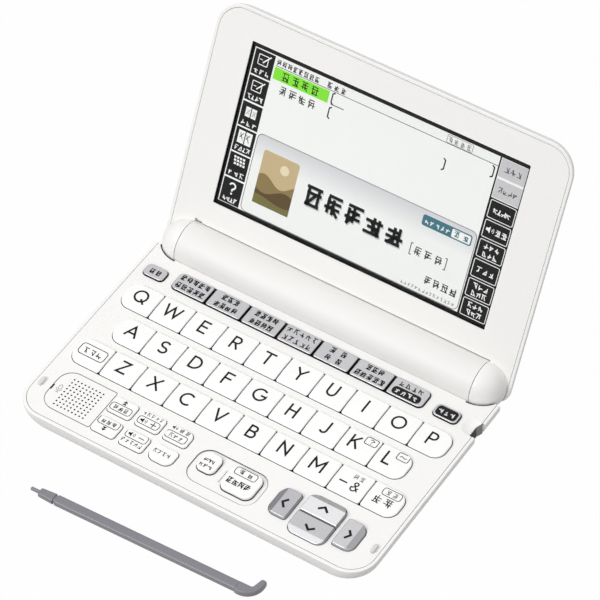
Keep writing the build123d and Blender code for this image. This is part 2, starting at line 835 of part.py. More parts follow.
# ---------------------------------------------------------------- barrel, cells, door and hinge pins
cells_length = 2 * (cell_length + cell_nub_length)
cells_right_x = bore_half - contact_thickness
cells_left_x = cells_right_x - cells_length
pin_inner_x = half_barrel - pin_barrel_grip
pin_outer_x = cap_face_x + pin_cap_grip


def door_face(plane, gap):
    """The part of the barrel's end view that the door takes up."""
    with BuildSketch(plane) as region:
        with Locations((door_front - gap, -door_top + gap)):
            Rectangle(barrel_radius, barrel_radius, align=(Align.MIN, Align.MAX))
    return region.sketch


with BuildPart() as hinge_barrel:
    add(barrel_shape(barrel_radius, half_barrel))
    add(barrel_shape(bore_radius, bore_half), mode=Mode.SUBTRACT)
    for side in (-1, 1):
        with BuildSketch(barrel_plane.offset(side * half_barrel)):
            Circle(pin_radius + thread_gap)
        extrude(amount=-side * pin_barrel_grip, mode=Mode.SUBTRACT)
    door_opening = door_face(barrel_plane.offset(-door_length / 2 - door_gap), door_gap)
    extrude(door_opening, amount=door_length + 2 * door_gap, mode=Mode.SUBTRACT)
save(hinge_barrel.part, "hinge_barrel")

with BuildPart() as battery_door:
    add(barrel_shape(barrel_radius, door_length / 2))
    add(barrel_shape(bore_radius, door_length / 2), mode=Mode.SUBTRACT)
    extrude(door_face(barrel_plane.offset(-door_length / 2), 0), amount=door_length, mode=Mode.INTERSECT)
save(battery_door.part, "battery_door")

with BuildPart() as batteries:
    for cell in (0, 1):
        start = cells_left_x + cell * (cell_length + cell_nub_length)
        with BuildSketch(barrel_plane.offset(start)):
            Circle(cell_radius)
        extrude(amount=cell_length)
        with BuildSketch(barrel_plane.offset(start + cell_length)):
            Circle(cell_nub_radius)
        extrude(amount=cell_nub_length)
save(batteries.part, "batteries")

contact_radius = bore_radius - contact_margin
with BuildPart() as battery_contacts:
    with BuildSketch(barrel_plane.offset(cells_right_x)):
        Circle(contact_radius)
    extrude(amount=contact_thickness)
    with BuildSketch(barrel_plane.offset(-bore_half)):
        Circle(contact_radius)
    extrude(amount=contact_thickness)
    # the spring is a thin-walled cone between the left plate and the first cell
    with BuildSketch(axis_plane):
        with BuildLine():
            Polyline(
                (-bore_half + contact_thickness, contact_radius - 2 * contact_thickness),
                (-bore_half + contact_thickness, contact_radius - contact_thickness),
                (cells_left_x, cell_nub_radius + contact_thickness),
                (cells_left_x, cell_nub_radius),
                close=True,
            )
        make_face()
    revolve(axis=hinge_axis)
save(battery_contacts.part, "battery_contacts")

with BuildPart() as hinge_pins:
    for side in (-1, 1):
        with BuildSketch(barrel_plane.offset(side * pin_inner_x)):
            Circle(pin_radius)
            if side > 0:
                Circle(cable_radius + cable_clearance, mode=Mode.SUBTRACT)
        extrude(amount=side * (pin_outer_x - pin_inner_x))
save(hinge_pins.part, "hinge_pins")

with BuildPart() as display_cable:
    with BuildSketch(barrel_plane.offset(pin_inner_x)):
        Circle(cable_radius)
    extrude(amount=pin_outer_x - pin_inner_x)
save(display_cable.part, "display_cable")


# ---------------------------------------------------------------- lid
lid_drop = lid_thickness - lid_band
lid_outer = curved_tray(
    lid_face, case_width, -lid_tail, lid_reach,
    [corner_radius] * 2 + [lid_tail_radius] * 2, lid_band, lid_drop,
    lid_side_inset, lid_tail_inset, lid_end_inset,
)
lid_inner = curved_tray(
    lid_face, case_width - 2 * rim_width, -lid_tail + rim_width, lid_reach - rim_width,
    [corner_radius - rim_width] * 2 + [lid_tail_radius - rim_width] * 2, lid_band, lid_drop - lid_wall,
    lid_side_inset, lid_tail_inset, lid_end_inset,
)
screen_y = screen_low + screen_height / 2
glass_plane = lid_face.offset(-glass_recess)
module_plane = lid_face.offset(-bezel_thickness - module_gap)


def lid_outline(plane, gap):
    """The bezel's plan inside the lid's rim."""
    low = -lid_tail + rim_width + gap
    high = lid_reach - rim_width - gap
    radii = [radius - rim_width - gap for radius in (corner_radius, lid_tail_radius)]
    return outline(
        plane,
        0,
        (low + high) / 2,
        case_width - 2 * rim_width - 2 * gap,
        high - low,
        [radii[0], radii[0], radii[1], radii[1]],
    )


def screen_rectangle(plane, grow):
    """A rectangle round the screen, wider than it by a margin."""
    with BuildSketch(plane) as shape:
        with Locations((0, screen_y)):
            RectangleRounded(screen_width + 2 * grow, screen_height + 2 * grow, screen_radius)
    return shape.sketch


with BuildPart() as lid_room:
    add(lid_inner)
    add(barrel_shape(barrel_radius + lid_barrel_gap + lid_wall, cap_face_x), mode=Mode.SUBTRACT)
    add(cap_shape(1, seat_gap + lid_wall), mode=Mode.SUBTRACT)
    add(cap_shape(-1, seat_gap + lid_wall), mode=Mode.SUBTRACT)

barrel_room = barrel_shape(barrel_radius + lid_barrel_gap, cap_face_x)

with BuildPart() as lid_back_cover:
    add(lid_outer)
    rim_edges = lid_back_cover.faces().sort_by(Axis(lid_plane.origin, lid_plane.z_dir))[-1].edges()
    fillet(rim_edges, radius=rim_rounding)
    add(lid_room.part, mode=Mode.SUBTRACT)
    extrude(lid_outline(lid_face, 0), amount=-bezel_thickness, mode=Mode.SUBTRACT)
    add(barrel_room, mode=Mode.SUBTRACT)
    add(cap_shape(1, seat_gap), mode=Mode.SUBTRACT)
    add(cap_shape(-1, seat_gap), mode=Mode.SUBTRACT)
save(lid_back_cover.part, "lid_back_cover")

with BuildPart() as lid_bezel:
    extrude(lid_outline(lid_face, panel_gap), amount=-bezel_thickness)
    add(barrel_room, mode=Mode.SUBTRACT)
    add(cap_shape(1, 0))
    add(cap_shape(-1, 0))
    for side in (-1, 1):
        with BuildSketch(barrel_plane.offset(side * cap_face_x)):
            Circle(pin_radius + pin_clearance)
        extrude(amount=side * (pin_cap_grip + cap_gap), mode=Mode.SUBTRACT)
    extrude(screen_rectangle(lid_face, 0), amount=-2 * bezel_thickness, mode=Mode.SUBTRACT)
    glass_room = screen_rectangle(glass_plane, glass_margin + seat_gap)
    extrude(glass_room, amount=-bezel_thickness, mode=Mode.SUBTRACT)
    with BuildSketch(lid_face):
        with Locations((-cap_face_x, 0)):
            Rectangle(
                lid_notch_length,
                barrel_radius + lid_barrel_gap + lid_notch_depth,
                align=(Align.MIN, Align.MIN),
            )
    extrude(amount=-bezel_thickness, mode=Mode.SUBTRACT)
save(lid_bezel.part, "lid_bezel")

with BuildPart() as touch_panel:
    extrude(screen_rectangle(glass_plane, glass_margin), amount=glass_recess - bezel_thickness)
save(touch_panel.part, "touch_panel")

with BuildPart() as lcd_module:
    extrude(screen_rectangle(module_plane, module_margin), amount=-module_thickness)
save(lcd_module.part, "lcd_module")


# ---------------------------------------------------------------- keys
def flange(x, y, width, depth, left, right, back, front):
    """The rim of a key that keeps it under the panel, reaching out by the given width on each side."""
    with BuildPart() as rim:
        with BuildSketch(flange_plane):
            with Locations((x + (right - left) / 2, y + (back - front) / 2)):
                Rectangle(width + left + right, depth + back + front)
        extrude(amount=flange_thickness)
    return rim.part


def round_top(key, height):
    """Round the upper edges of a key, which are those above the panel."""
    top = key.edges().filter_by(lambda edge: edge.bounding_box().min.Z > height)
    fillet(top, radius=key_edge)


def flat_key(x, y, width, depth, radii, rise, overhang):
    """A key with a level top."""
    blank = outline(Plane.XY.offset(flange_top), x, y, width, depth, radii)
    with BuildPart() as key:
        extrude(blank, amount=deck_height + rise - flange_top)
        round_top(key, deck_height + rise / 2)
        add(flange(x, y, width, depth, *overhang))
    return key.part


def letter_key(x, y, radii):
    """A letter key: level at the back, sloping down towards the user."""
    width = key_pitch - key_gap
    back = y + key_depth / 2
    front = y - key_depth / 2
    blank = outline(Plane.XY.offset(flange_top), x, y, width, key_depth, radii)
    with BuildPart() as key:
        extrude(blank, amount=deck_height + key_rise_back - flange_top)
        with BuildSketch(Plane.YZ.offset(x - width)) as profile:
            with BuildLine():
                Polyline(
                    (back, flange_top),
                    (back, deck_height + key_rise_back),
                    (back - key_ridge * key_depth, deck_height + key_rise_back),
                    (front, deck_height + key_rise_front),
                    (front, flange_top),
                    close=True,
                )
            make_face()
            ridge = (back - key_ridge * key_depth, deck_height + key_rise_back)
            fillet(profile.vertices().sort_by_distance(ridge)[0], radius=key_ridge_radius)
        extrude(amount=2 * width, mode=Mode.INTERSECT)
        round_top(key, deck_height + key_rise_front / 2)
        add(flange(x, y, width, key_depth, 0, 0, flange_width, flange_width))
    return key.part


def cursor_key(x, y, width, depth, radii, slope):
    """A cursor key, its outer side cut down in a slope."""
    blank = outline(Plane.XY.offset(flange_top), x, y, width, depth, radii)
    start_x = x + slope[0] * (width / 2 - cursor_slope_width)
    start_y = y + slope[1] * (depth / 2 - cursor_slope_width)
    slope_start = (start_x, start_y, deck_height + cursor_rise)
    slope_normal = (slope[0] * cursor_slope_drop, slope[1] * cursor_slope_drop, cursor_slope_width)
    overhang = [flange_width] * 4
    if slope[1] > 0:
        overhang[3] = 0
    if slope[1] < 0:
        overhang[2] = 0
    with BuildPart() as key:
        extrude(blank, amount=deck_height + cursor_rise - flange_top)
        split(bisect_by=Plane(slope_start, z_dir=slope_normal), keep=Keep.BOTTOM)
        round_top(key, deck_height + (cursor_rise - cursor_slope_drop) / 2)
        add(flange(x, y, width, depth, *overhang))
    return key.part


for row, names in enumerate(letter_rows):
    last = len(names) - 1
    for index, name in enumerate(names):
        left_radius = row_end_radius if index == 0 else key_radius
        right_radius = row_end_radius if index == last else key_radius
        key_x = (index - last / 2) * key_pitch
        radii = [left_radius, right_radius, right_radius, left_radius]
        save(letter_key(key_x, row_y(row), radii), "key_" + name)

for name, x, y, width, depth, radii, rise in single_keys:
    save(flat_key(x, y, width, depth, radii, rise, [flange_width] * 4), name)

for name, x, y, width, depth, radii, slope in cursor_keys:
    save(cursor_key(x, y, width, depth, radii, slope), name)

with BuildPart() as small_keys:
    for x, y, radii in small_key_places:
        add(flat_key(x, y, small_key_width, small_key_depth, radii, small_key_rise, [flange_width] * 4))
save(small_keys.part, "small_keys")

with BuildPart() as function_keys:
    for index in range(function_key_count):
        key_x = function_row_shift + (index - (function_key_count - 1) / 2) * function_key_pitch
        width = function_key_pitch - function_key_gap
        left_radius = function_key_radius if index == 0 else key_radius
        right_radius = function_key_radius if index == function_key_count - 1 else key_radius
        radii = [left_radius, right_radius, right_radius, left_radius]
        add(
            flat_key(
                key_x, function_y, width, function_key_depth, radii, function_key_rise,
                [0, 0, flange_width, flange_width],
            )
        )
save(function_keys.part, "function_keys")


# ---------------------------------------------------------------- stylus
stylus_plane = Plane(
    (stylus_tip_x, front_y - stylus_tip_front, stylus_thickness / 2),
    x_dir=(cos(radians(stylus_turn)), sin(radians(stylus_turn)), 0),
    z_dir=(0, 0, 1),
)
stylus_section = Plane(stylus_plane.origin, x_dir=stylus_plane.y_dir, z_dir=stylus_plane.x_dir)
nose_x = stylus_tip_length
collar_x = nose_x + stylus_nose_length
shaft_x = collar_x + stylus_groove_width
shaft_end_x = shaft_x + stylus_shaft_length
hook_centre = (shaft_end_x + stylus_hook_forward, stylus_hook_offset)


def stylus_bar(start, end, start_inset, end_inset):
    """A length of the stylus, with its section drawn in by an inset at each end."""
    with BuildPart() as bar:
        for x, inset in ((start, start_inset), (end, end_inset)):
            with BuildSketch(stylus_section.offset(x)):
                RectangleRounded(
                    stylus_width - 2 * inset, stylus_thickness - inset, stylus_corner - inset / 2
                )
        loft()
    return bar.part


with BuildPart() as hook:
    with BuildSketch(stylus_plane.offset(-stylus_thickness / 2)):
        with BuildLine():
            outer = CenterArc(
                hook_centre,
                stylus_hook_radius,
                start_angle=stylus_hook_start,
                arc_size=stylus_hook_end - stylus_hook_start,
            )
            horn_end = (outer @ 1).X - stylus_horn_width
            shaft_side = stylus_width / 2
            Polyline(
                outer @ 1,
                (horn_end, (outer @ 1).Y),
                (shaft_end_x + stylus_neck_length, shaft_side),
                ((outer @ 0).X, shaft_side),
                outer @ 0,
            )
        make_face()
    extrude(amount=stylus_thickness)
    fillet(hook.edges(), radius=stylus_hook_edge)

with BuildPart() as nose:
    add(stylus_bar(nose_x, collar_x, stylus_nose_inset, 0))
    fillet(nose.faces().sort_by(Axis.X)[0].edges(), radius=stylus_nose_rounding)

with BuildPart() as stylus:
    with BuildSketch(stylus_plane):
        with BuildLine():
            Polyline(
                (0, 0),
                (0, stylus_tip_radius - stylus_tip_rounding),
                (stylus_tip_rounding, stylus_tip_radius),
                (collar_x, stylus_tip_radius),
                (collar_x, 0),
                close=True,
            )
        make_face()
    revolve(axis=Axis(stylus_plane.origin, stylus_plane.x_dir))
    add(nose.part)
    add(stylus_bar(collar_x, shaft_x, stylus_groove_depth, stylus_groove_depth))
    add(stylus_bar(shaft_x, shaft_end_x, 0, 0))
    add(hook.part)
save(stylus.part, "stylus")
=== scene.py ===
# %% [markdown]
# # A pocket electronic dictionary, dressed in Blender
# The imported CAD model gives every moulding, key and screw at its real size, in metres. This
# notebook leaves those solids where they are. It gives each one a finish, prints the legends on the
# keys, fills the screen with a made-up page, and lights the whole thing softly on a white table.

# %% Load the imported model
import json
import math
import random

import bmesh
import bpy
from mathutils import Matrix, Vector
from mathutils.bvhtree import BVHTree

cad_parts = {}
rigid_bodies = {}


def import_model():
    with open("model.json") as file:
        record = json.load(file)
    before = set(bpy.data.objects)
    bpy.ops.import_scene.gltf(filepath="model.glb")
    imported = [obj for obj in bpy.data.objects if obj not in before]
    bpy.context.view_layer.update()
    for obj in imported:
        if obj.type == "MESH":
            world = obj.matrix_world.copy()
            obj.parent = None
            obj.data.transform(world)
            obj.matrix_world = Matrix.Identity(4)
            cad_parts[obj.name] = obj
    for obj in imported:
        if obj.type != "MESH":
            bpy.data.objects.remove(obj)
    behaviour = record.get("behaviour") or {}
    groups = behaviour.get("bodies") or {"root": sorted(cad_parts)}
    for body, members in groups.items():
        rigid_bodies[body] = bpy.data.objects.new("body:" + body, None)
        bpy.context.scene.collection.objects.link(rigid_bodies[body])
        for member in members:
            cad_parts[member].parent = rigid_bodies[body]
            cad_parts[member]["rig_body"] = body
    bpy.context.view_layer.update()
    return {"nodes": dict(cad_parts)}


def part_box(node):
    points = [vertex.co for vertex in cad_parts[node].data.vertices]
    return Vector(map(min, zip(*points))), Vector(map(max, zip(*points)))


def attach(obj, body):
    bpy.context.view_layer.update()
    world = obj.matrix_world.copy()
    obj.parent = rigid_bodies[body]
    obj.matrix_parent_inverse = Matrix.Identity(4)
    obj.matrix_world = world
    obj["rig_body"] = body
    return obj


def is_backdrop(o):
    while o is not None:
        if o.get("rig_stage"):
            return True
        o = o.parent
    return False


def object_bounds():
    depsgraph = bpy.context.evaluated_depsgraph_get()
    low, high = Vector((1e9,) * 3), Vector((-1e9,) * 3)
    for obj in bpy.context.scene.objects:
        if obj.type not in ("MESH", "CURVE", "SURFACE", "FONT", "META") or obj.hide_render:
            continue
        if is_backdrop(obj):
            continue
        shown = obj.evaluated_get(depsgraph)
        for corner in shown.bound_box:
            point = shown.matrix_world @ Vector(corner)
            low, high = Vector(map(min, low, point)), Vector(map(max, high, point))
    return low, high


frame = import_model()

nodes = frame["nodes"]
MM = 0.001

# %% [markdown]
# ## The camera
# The object is seen from the front, from about 36 degrees to its right and 50 degrees above the
# table, through a long lens, so that its edges stay nearly parallel. The camera is also rolled by a
# few degrees. Building the three axes of the camera from those angles keeps the roll apart from the
# two aiming angles.

# %% Camera
CAMERA_PLACE = Vector((0.507887, -0.668942, 1.041293))
CAMERA_AZIMUTH, CAMERA_ELEVATION, CAMERA_ROLL = (math.radians(a) for a in (36.24, 49.49, -3.50))
LENS_MM = 225.457

ahead = Vector((
    -math.sin(CAMERA_AZIMUTH) * math.cos(CAMERA_ELEVATION),
    math.cos(CAMERA_AZIMUTH) * math.cos(CAMERA_ELEVATION),
    -math.sin(CAMERA_ELEVATION),
))
level_right = Vector((math.cos(CAMERA_AZIMUTH), math.sin(CAMERA_AZIMUTH), 0))
level_up = level_right.cross(ahead)
right = level_right * math.cos(CAMERA_ROLL) + level_up * math.sin(CAMERA_ROLL)
up = right.cross(ahead)

camera_data = bpy.data.cameras.new("camera")
camera_data.sensor_width = 36
camera_data.lens = LENS_MM
camera = bpy.data.objects.new("camera", camera_data)
bpy.context.scene.collection.objects.link(camera)
turn = Matrix((right, up, -ahead)).transposed()
camera.matrix_world = Matrix.Translation(CAMERA_PLACE) @ turn.to_4x4()
bpy.context.scene.camera = camera
bpy.context.scene.view_settings.view_transform = "Standard"
print("camera looks along", [round(a, 4) for a in ahead])

# %% [markdown]
# ## Two small tools for materials
# Colours are picked as sRGB hex values, as in any paint program, but Blender's shaders work in
# linear light, so one function turns them over. A second function adds a node, sets what is given
# and joins its wires, so that a whole material can be read from top to bottom.


# %% Colour and node helpers
def linear(hex_colour):
    """An sRGB hex colour as linear RGBA."""
    channels = [int(hex_colour[i:i + 2], 16) / 255 for i in (1, 3, 5)]
    return (*[c / 12.92 if c <= 0.04045 else ((c + 0.055) / 1.055) ** 2.4 for c in channels], 1)


def node(tree, kind, sets=None, wires=None):
    """Adds a shader node. sets are its properties and socket values, wires its incoming links."""
    made = tree.nodes.new("ShaderNode" + kind)
    for key, value in (sets or {}).items():
        if isinstance(key, int) or key in made.inputs:
            made.inputs[key].default_value = value
        else:
            setattr(made, key, value)
    for key, output in (wires or {}).items():
        tree.links.new(output, made.inputs[key])
    return made


def new_material(name, colour, roughness, ior=1.5, metallic=0.0):
    """A material with one Principled shader. Its constants sit on the shader's own sockets."""
    material = bpy.data.materials.new(name)
    material.use_nodes = True
    tree = material.node_tree
    shader = tree.nodes["Principled BSDF"]
    shader.inputs["Base Color"].default_value = linear(colour)
    shader.inputs["Roughness"].default_value = roughness
    if metallic:
        shader.inputs["Metallic"].default_value = metallic
    else:
        shader.inputs["IOR"].default_value = ior
    place = tree.nodes.new("ShaderNodeTexCoord").outputs["Object"]
    return material, tree, shader, place


print("middle grey #808080 is", [round(c, 3) for c in linear("#808080")[:3]], "in linear light")

# %% [markdown]
# ## The table and the room
# A large pale plane takes the soft shadow under the base. To the camera it shows mostly as pure
# white, by the Light Path node, because brighter lamps would wash out a white object long before
# the table was white. Glossy rays see the white table too, so the pearly barrel has something to
# reflect. The room is brighter overhead than at the level of the table, as under a light tent, so
# that a key's top and its sides never have the same shade.

# %% Table
TABLE_SIZE = 6.0
TABLE_DROP = 0.01 * MM
WHITE_SHARE = 0.985
floor_mesh = bpy.data.meshes.new("table")
shape = bmesh.new()
bmesh.ops.create_grid(shape, x_segments=1, y_segments=1, size=TABLE_SIZE / 2)
shape.to_mesh(floor_mesh)
shape.free()
floor = bpy.data.objects.new("table", floor_mesh)
bpy.context.scene.collection.objects.link(floor)
floor.location.z = -TABLE_DROP
floor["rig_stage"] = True

paper, tree, shader, place = new_material("white_paper_sweep", "#A9A9A8", 0.9)
path = node(tree, "LightPath")
seen = node(tree, "Math", {"operation": "MAXIMUM"},
            {0: path.outputs["Is Camera Ray"], 1: path.outputs["Is Glossy Ray"]})
seen = node(tree, "Math", {"operation": "MAXIMUM"},
            {0: seen.outputs[0], 1: path.outputs["Is Transmission Ray"]})
share = node(tree, "Math", {"operation": "MULTIPLY", 1: WHITE_SHARE}, {0: seen.outputs[0]})
glow = node(tree, "Emission", {"Color": (1, 1, 1, 1), "Strength": 1.0})
blend = node(tree, "MixShader", {}, {0: share.outputs[0], 1: shader.outputs[0], 2: glow.outputs[0]})
tree.links.new(blend.outputs[0], tree.nodes["Material Output"].inputs["Surface"])
floor_mesh.materials.append(paper)
print("table", TABLE_SIZE, "m wide, seen as", WHITE_SHARE, "of pure white")

# %% World
ROOM_LOW, ROOM_HIGH = 0.22, 1.08
world = bpy.data.worlds.new("room")
bpy.context.scene.world = world
world.use_nodes = True
tree = world.node_tree
path = node(tree, "LightPath")
way = node(tree, "TexCoord")
height = node(tree, "SeparateXYZ", {}, {0: way.outputs["Generated"]})
ceiling = node(tree, "MapRange", {"To Min": ROOM_LOW, "To Max": ROOM_HIGH},
               {"Value": height.outputs["Z"]})
room = tree.nodes["Background"]
room.inputs["Color"].default_value = (1, 1, 1, 1)
tree.links.new(ceiling.outputs[0], room.inputs["Strength"])
backdrop = node(tree, "Background", {"Color": (1, 1, 1, 1), "Strength": 1.0})
mix = node(tree, "MixShader", {},
           {0: path.outputs["Is Camera Ray"], 1: room.outputs[0], 2: backdrop.outputs[0]})
tree.links.new(mix.outputs[0], tree.nodes["World Output"].inputs["Surface"])
print("room light", ROOM_LOW, "at the level of the eye,", ROOM_HIGH, "overhead")

# %% [markdown]
# ## Lamps
# White mouldings need a light with a direction, or every face is the same white. A large soft box
# high up in front, a little to the left, lights the deck and the lid about alike, and leaves the
# curved wall of the base and the right sides of the keys in a light grey shade. It is far enough
# away that no corner of the object is brighter than another.


# %% Soft boxes
def soft_box(name, place, target, size, level):
    """A square lamp that gives a face turned to it the share level of a full, plain white."""
    lamp = bpy.data.lights.new(name, "AREA")
    lamp.shape = "SQUARE"
    lamp.size = size
    place, target = Vector(place), Vector(target)
    lamp.energy = level * (math.pi * (place - target).length) ** 2
    holder = bpy.data.objects.new(name, lamp)
    bpy.context.scene.collection.objects.link(holder)
    holder.location = place
    holder.rotation_euler = (target - place).to_track_quat("-Z", "Y").to_euler()
    print(name, "energy", round(lamp.energy, 2))
    return holder


OBJECT_MIDDLE = (0, 0.01, 0.03)
BOX_PLACE, BOX_SIZE, BOX_LEVEL = (-0.5, -0.95, 1.0), 0.7, 0.43
soft_box("key_box", BOX_PLACE, OBJECT_MIDDLE, BOX_SIZE, BOX_LEVEL)

# %% [markdown]
# ## White ABS mouldings
# The case halves, the bezel and the back of the lid are injection-moulded ABS in a warm white. The
# tool's surface was spark-eroded very finely, so the plastic has a satin sheen that breaks up a
# reflection without showing grains. A fine noise in the bump does that, and a slow one lets the
# roughness drift by a few hundredths, as handled plastic does.


# %% Moulded plastic
DRIFT_MM = 35
DRIFT_IN_GLOSS = 0.05


def moulded(name, colour, roughness, grain_mm, grain_depth_mm, shade=0.03, ior=1.53):
    """An injection-moulded plastic: fine tool grain in the bump, slow drift in colour and gloss."""
    material, tree, shader, place = new_material(name, colour, roughness, ior)
    grain = node(tree, "TexNoise", {"Scale": 1 / (grain_mm * MM), "Detail": 2.0}, {"Vector": place})
    bump = node(tree, "Bump", {"Strength": 1.0, "Distance": grain_depth_mm * MM},
                {"Height": grain.outputs[0]})
    tree.links.new(bump.outputs[0], shader.inputs["Normal"])
    drift = node(tree, "TexNoise", {"Scale": 1 / (DRIFT_MM * MM), "Detail": 3.0}, {"Vector": place})
    span = {"To Min": roughness - DRIFT_IN_GLOSS, "To Max": roughness + DRIFT_IN_GLOSS}
    gloss = node(tree, "MapRange", span, {"Value": drift.outputs[0]})
    tree.links.new(gloss.outputs[0], shader.inputs["Roughness"])
    paint = node(tree, "Mix", {"data_type": "RGBA"}, {0: drift.outputs[0]})
    base = linear(colour)
    paint.inputs["A"].default_value = (*[c * (1 - shade) for c in base[:3]], 1)
    paint.inputs["B"].default_value = base
    tree.links.new(paint.outputs["Result"], shader.inputs["Base Color"])
    return material


# The real grain is about 0.05 mm, too fine for a picture, so it is drawn ten times as coarse.
white_abs = moulded("satin_white_abs", "#F3F2F0", 0.42, 0.5, 0.004)
print(white_abs.name)

# %% [markdown]
# ## The deck panel
# The deck panel is the same white, but the walls of its openings, below the top face, are painted
# grey as shade. That gives the eye a thin grey line round every key, along the grooves and at the
# notch. It could be drawn as lines, but then it would not sit in the gaps. So the shader looks at
# the surface itself: what stands upright and lies below the top face gets the painted grey shade.


# %% Panel paint
def upright_walls(tree, below, steepest=0.4):
    """A mask that is 1 where a face is about upright and lies below that height."""
    way = node(tree, "SeparateXYZ", {}, {0: node(tree, "NewGeometry").outputs["True Normal"]})
    level = node(tree, "Math", {"operation": "ABSOLUTE"}, {0: way.outputs["Z"]})
    wall = node(tree, "Math", {"operation": "LESS_THAN", 1: steepest}, {0: level.outputs[0]})
    height = node(tree, "SeparateXYZ", {}, {0: node(tree, "TexCoord").outputs["Object"]})
    low = node(tree, "Math", {"operation": "LESS_THAN", 1: below}, {0: height.outputs["Z"]})
    return node(tree, "Math", {"operation": "MULTIPLY"}, {0: wall.outputs[0], 1: low.outputs[0]})


def add_painted_shade(material, mask, colour):
    """Shows a painted shade colour where the mask is 1."""
    tree = material.node_tree
    shader = tree.nodes["Principled BSDF"]
    top_coat = shader.inputs["Base Color"].links[0].from_socket
    mix = node(tree, "Mix", {"data_type": "RGBA"}, {0: mask.outputs[0], "A": top_coat})
    mix.inputs["B"].default_value = linear(colour)
    tree.links.new(mix.outputs["Result"], shader.inputs["Base Color"])


PAINTED_SHADE_BELOW = 9.55 * MM
panel_abs_painted_shade = moulded("white_abs_panel_with_painted_shade", "#F3F2F0", 0.42, 0.5, 0.004)
# The grey on the walls of the openings is painted shade, not the colour of the plastic.
add_painted_shade(panel_abs_painted_shade, upright_walls(panel_abs_painted_shade.node_tree, PAINTED_SHADE_BELOW), "#6C6C6F")
print(panel_abs_painted_shade.name)

# %% [markdown]
# ## Pearl-lacquered barrel
# The battery barrel and its door are the same ABS under a thin lacquer with a little pearl in it.
# The lacquer is sprayed and hardly polished, so the highlight along the tube is as broad as on the
# case, and the colour is a shade greyer than the case. It could be layered from flakes, but they
# are far too fine to see here. A weak, rough coat on the plastic gives the eye the same thing.

# %% Pearl lacquer
pearl_lacquer = moulded("pearl_lacquered_abs", "#ECEBE9", 0.6, 0.4, 0.002, 0.02)
pearl_shader = pearl_lacquer.node_tree.nodes["Principled BSDF"]
pearl_shader.inputs["Coat Weight"].default_value = 0.1
pearl_shader.inputs["Coat Roughness"].default_value = 0.3
print(pearl_lacquer.name)

# %% [markdown]
# ## Keys
# The letter keys are white ABS with a finer, matt UV coating over the printed legends. Below the
# deck their colour is a painted shade of dark grey, so the gaps between them read as dark lines.
# The function keys and the cursor keys carry silver paint: mica flakes in a clear binder, so it is
# a grey that is partly metallic. The paint stops at the edge of the top. The moulding under it is
# black on the function keys, so their side walls read as black slots, and light grey on the cursor
# keys. Each key could be two pieces, but the direction a face points in tells top and wall apart
# well enough.
# The silver also carries painted light: front bevels are painted bright, and faces turned to the
# back or to a side are painted darker, as the light falls on them.

# %% Key plastics
# Painted shade: the keys are dark grey below the deck's level, for the shade in the gaps.
GAP_SHADE_TOP = 9.6 * MM
key_white = moulded("matt_coated_key_abs", "#F8F8F7", 0.48, 0.4, 0.003, 0.015)
tree = key_white.node_tree
height = node(tree, "SeparateXYZ", {}, {0: node(tree, "TexCoord").outputs["Object"]})
painted_gap_shade = node(tree, "Math", {"operation": "LESS_THAN", 1: GAP_SHADE_TOP}, {0: height.outputs["Z"]})
add_painted_shade(key_white, painted_gap_shade, "#47474A")
print(key_white.name, "down to", round(GAP_SHADE_TOP / MM, 2), "mm")

# %% Silver paint
# Real flakes are about 0.02 mm across, so they are drawn ten times as coarse.
FLAKE_MM = 0.25
METAL_SHARE = 0.75
# Painted shade: how fast a face darkens as it turns to the back or to a side, and its brightest
# share.
SHADE_PAINTED_BACK, SHADE_PAINTED_SIDE, BRIGHTEST_PAINTED_LIGHT = 1.25, 0.9, 1.0
# The paint runs out as a face tips over: bare at the first upward share, painted at the second.
PAINT_ENDS = (0.25, 0.45)


def silver_paint_with_painted_shade(name, colour, wall):
    """Silver paint on top of a darker moulding: faces that point up are painted, walls are not."""
    material, tree, shader, place = new_material(name, colour, 0.36)
    flakes = node(tree, "TexVoronoi", {"Scale": 1 / (FLAKE_MM * MM)}, {"Vector": place})
    sparkle = node(tree, "MapRange", {"To Min": 0.94, "To Max": 1.04},
                   {"Value": flakes.outputs["Color"]})
    tint = node(tree, "Mix", {"data_type": "RGBA", "blend_type": "MULTIPLY", 0: 1.0},
                {"B": sparkle.outputs[0]})
    # Painted light: the colour is toned by the way a face points, darker to the back and the sides.
    facing = node(tree, "NewGeometry")
    upward = node(tree, "SeparateXYZ", {}, {0: facing.outputs["True Normal"]})
    sideways = node(tree, "Math", {"operation": "ABSOLUTE"}, {0: upward.outputs["X"]})
    backward = node(tree, "Math", {"operation": "MULTIPLY", 1: SHADE_PAINTED_BACK}, {0: upward.outputs["Y"]})
    painted_shade = node(tree, "Math", {"operation": "MULTIPLY_ADD", 1: SHADE_PAINTED_SIDE},
                {0: sideways.outputs[0], 2: backward.outputs[0]})
    painted_light = node(tree, "Math", {"operation": "SUBTRACT", 0: 1.0}, {1: painted_shade.outputs[0]})
    painted_light = node(tree, "Math", {"operation": "MINIMUM", 1: BRIGHTEST_PAINTED_LIGHT}, {0: painted_light.outputs[0]})
    painted_light_colour = node(tree, "Mix", {"data_type": "RGBA", "blend_type": "MULTIPLY", 0: 1.0},
                 {"B": painted_light.outputs[0]})
    painted_light_colour.inputs["A"].default_value = linear(colour)
    tree.links.new(painted_light_colour.outputs["Result"], tint.inputs["A"])
    painted = node(tree, "MapRange", {"From Min": PAINT_ENDS[0], "From Max": PAINT_ENDS[1]},
                   {"Value": upward.outputs["Z"]})
    colour_mix = node(tree, "Mix", {"data_type": "RGBA"},
                      {0: painted.outputs[0], "B": tint.outputs["Result"]})
    colour_mix.inputs["A"].default_value = linear(wall)
    tree.links.new(colour_mix.outputs["Result"], shader.inputs["Base Color"])
    metal = node(tree, "Math", {"operation": "MULTIPLY", 1: METAL_SHARE}, {0: painted.outputs[0]})
    tree.links.new(metal.outputs[0], shader.inputs["Metallic"])
    return material


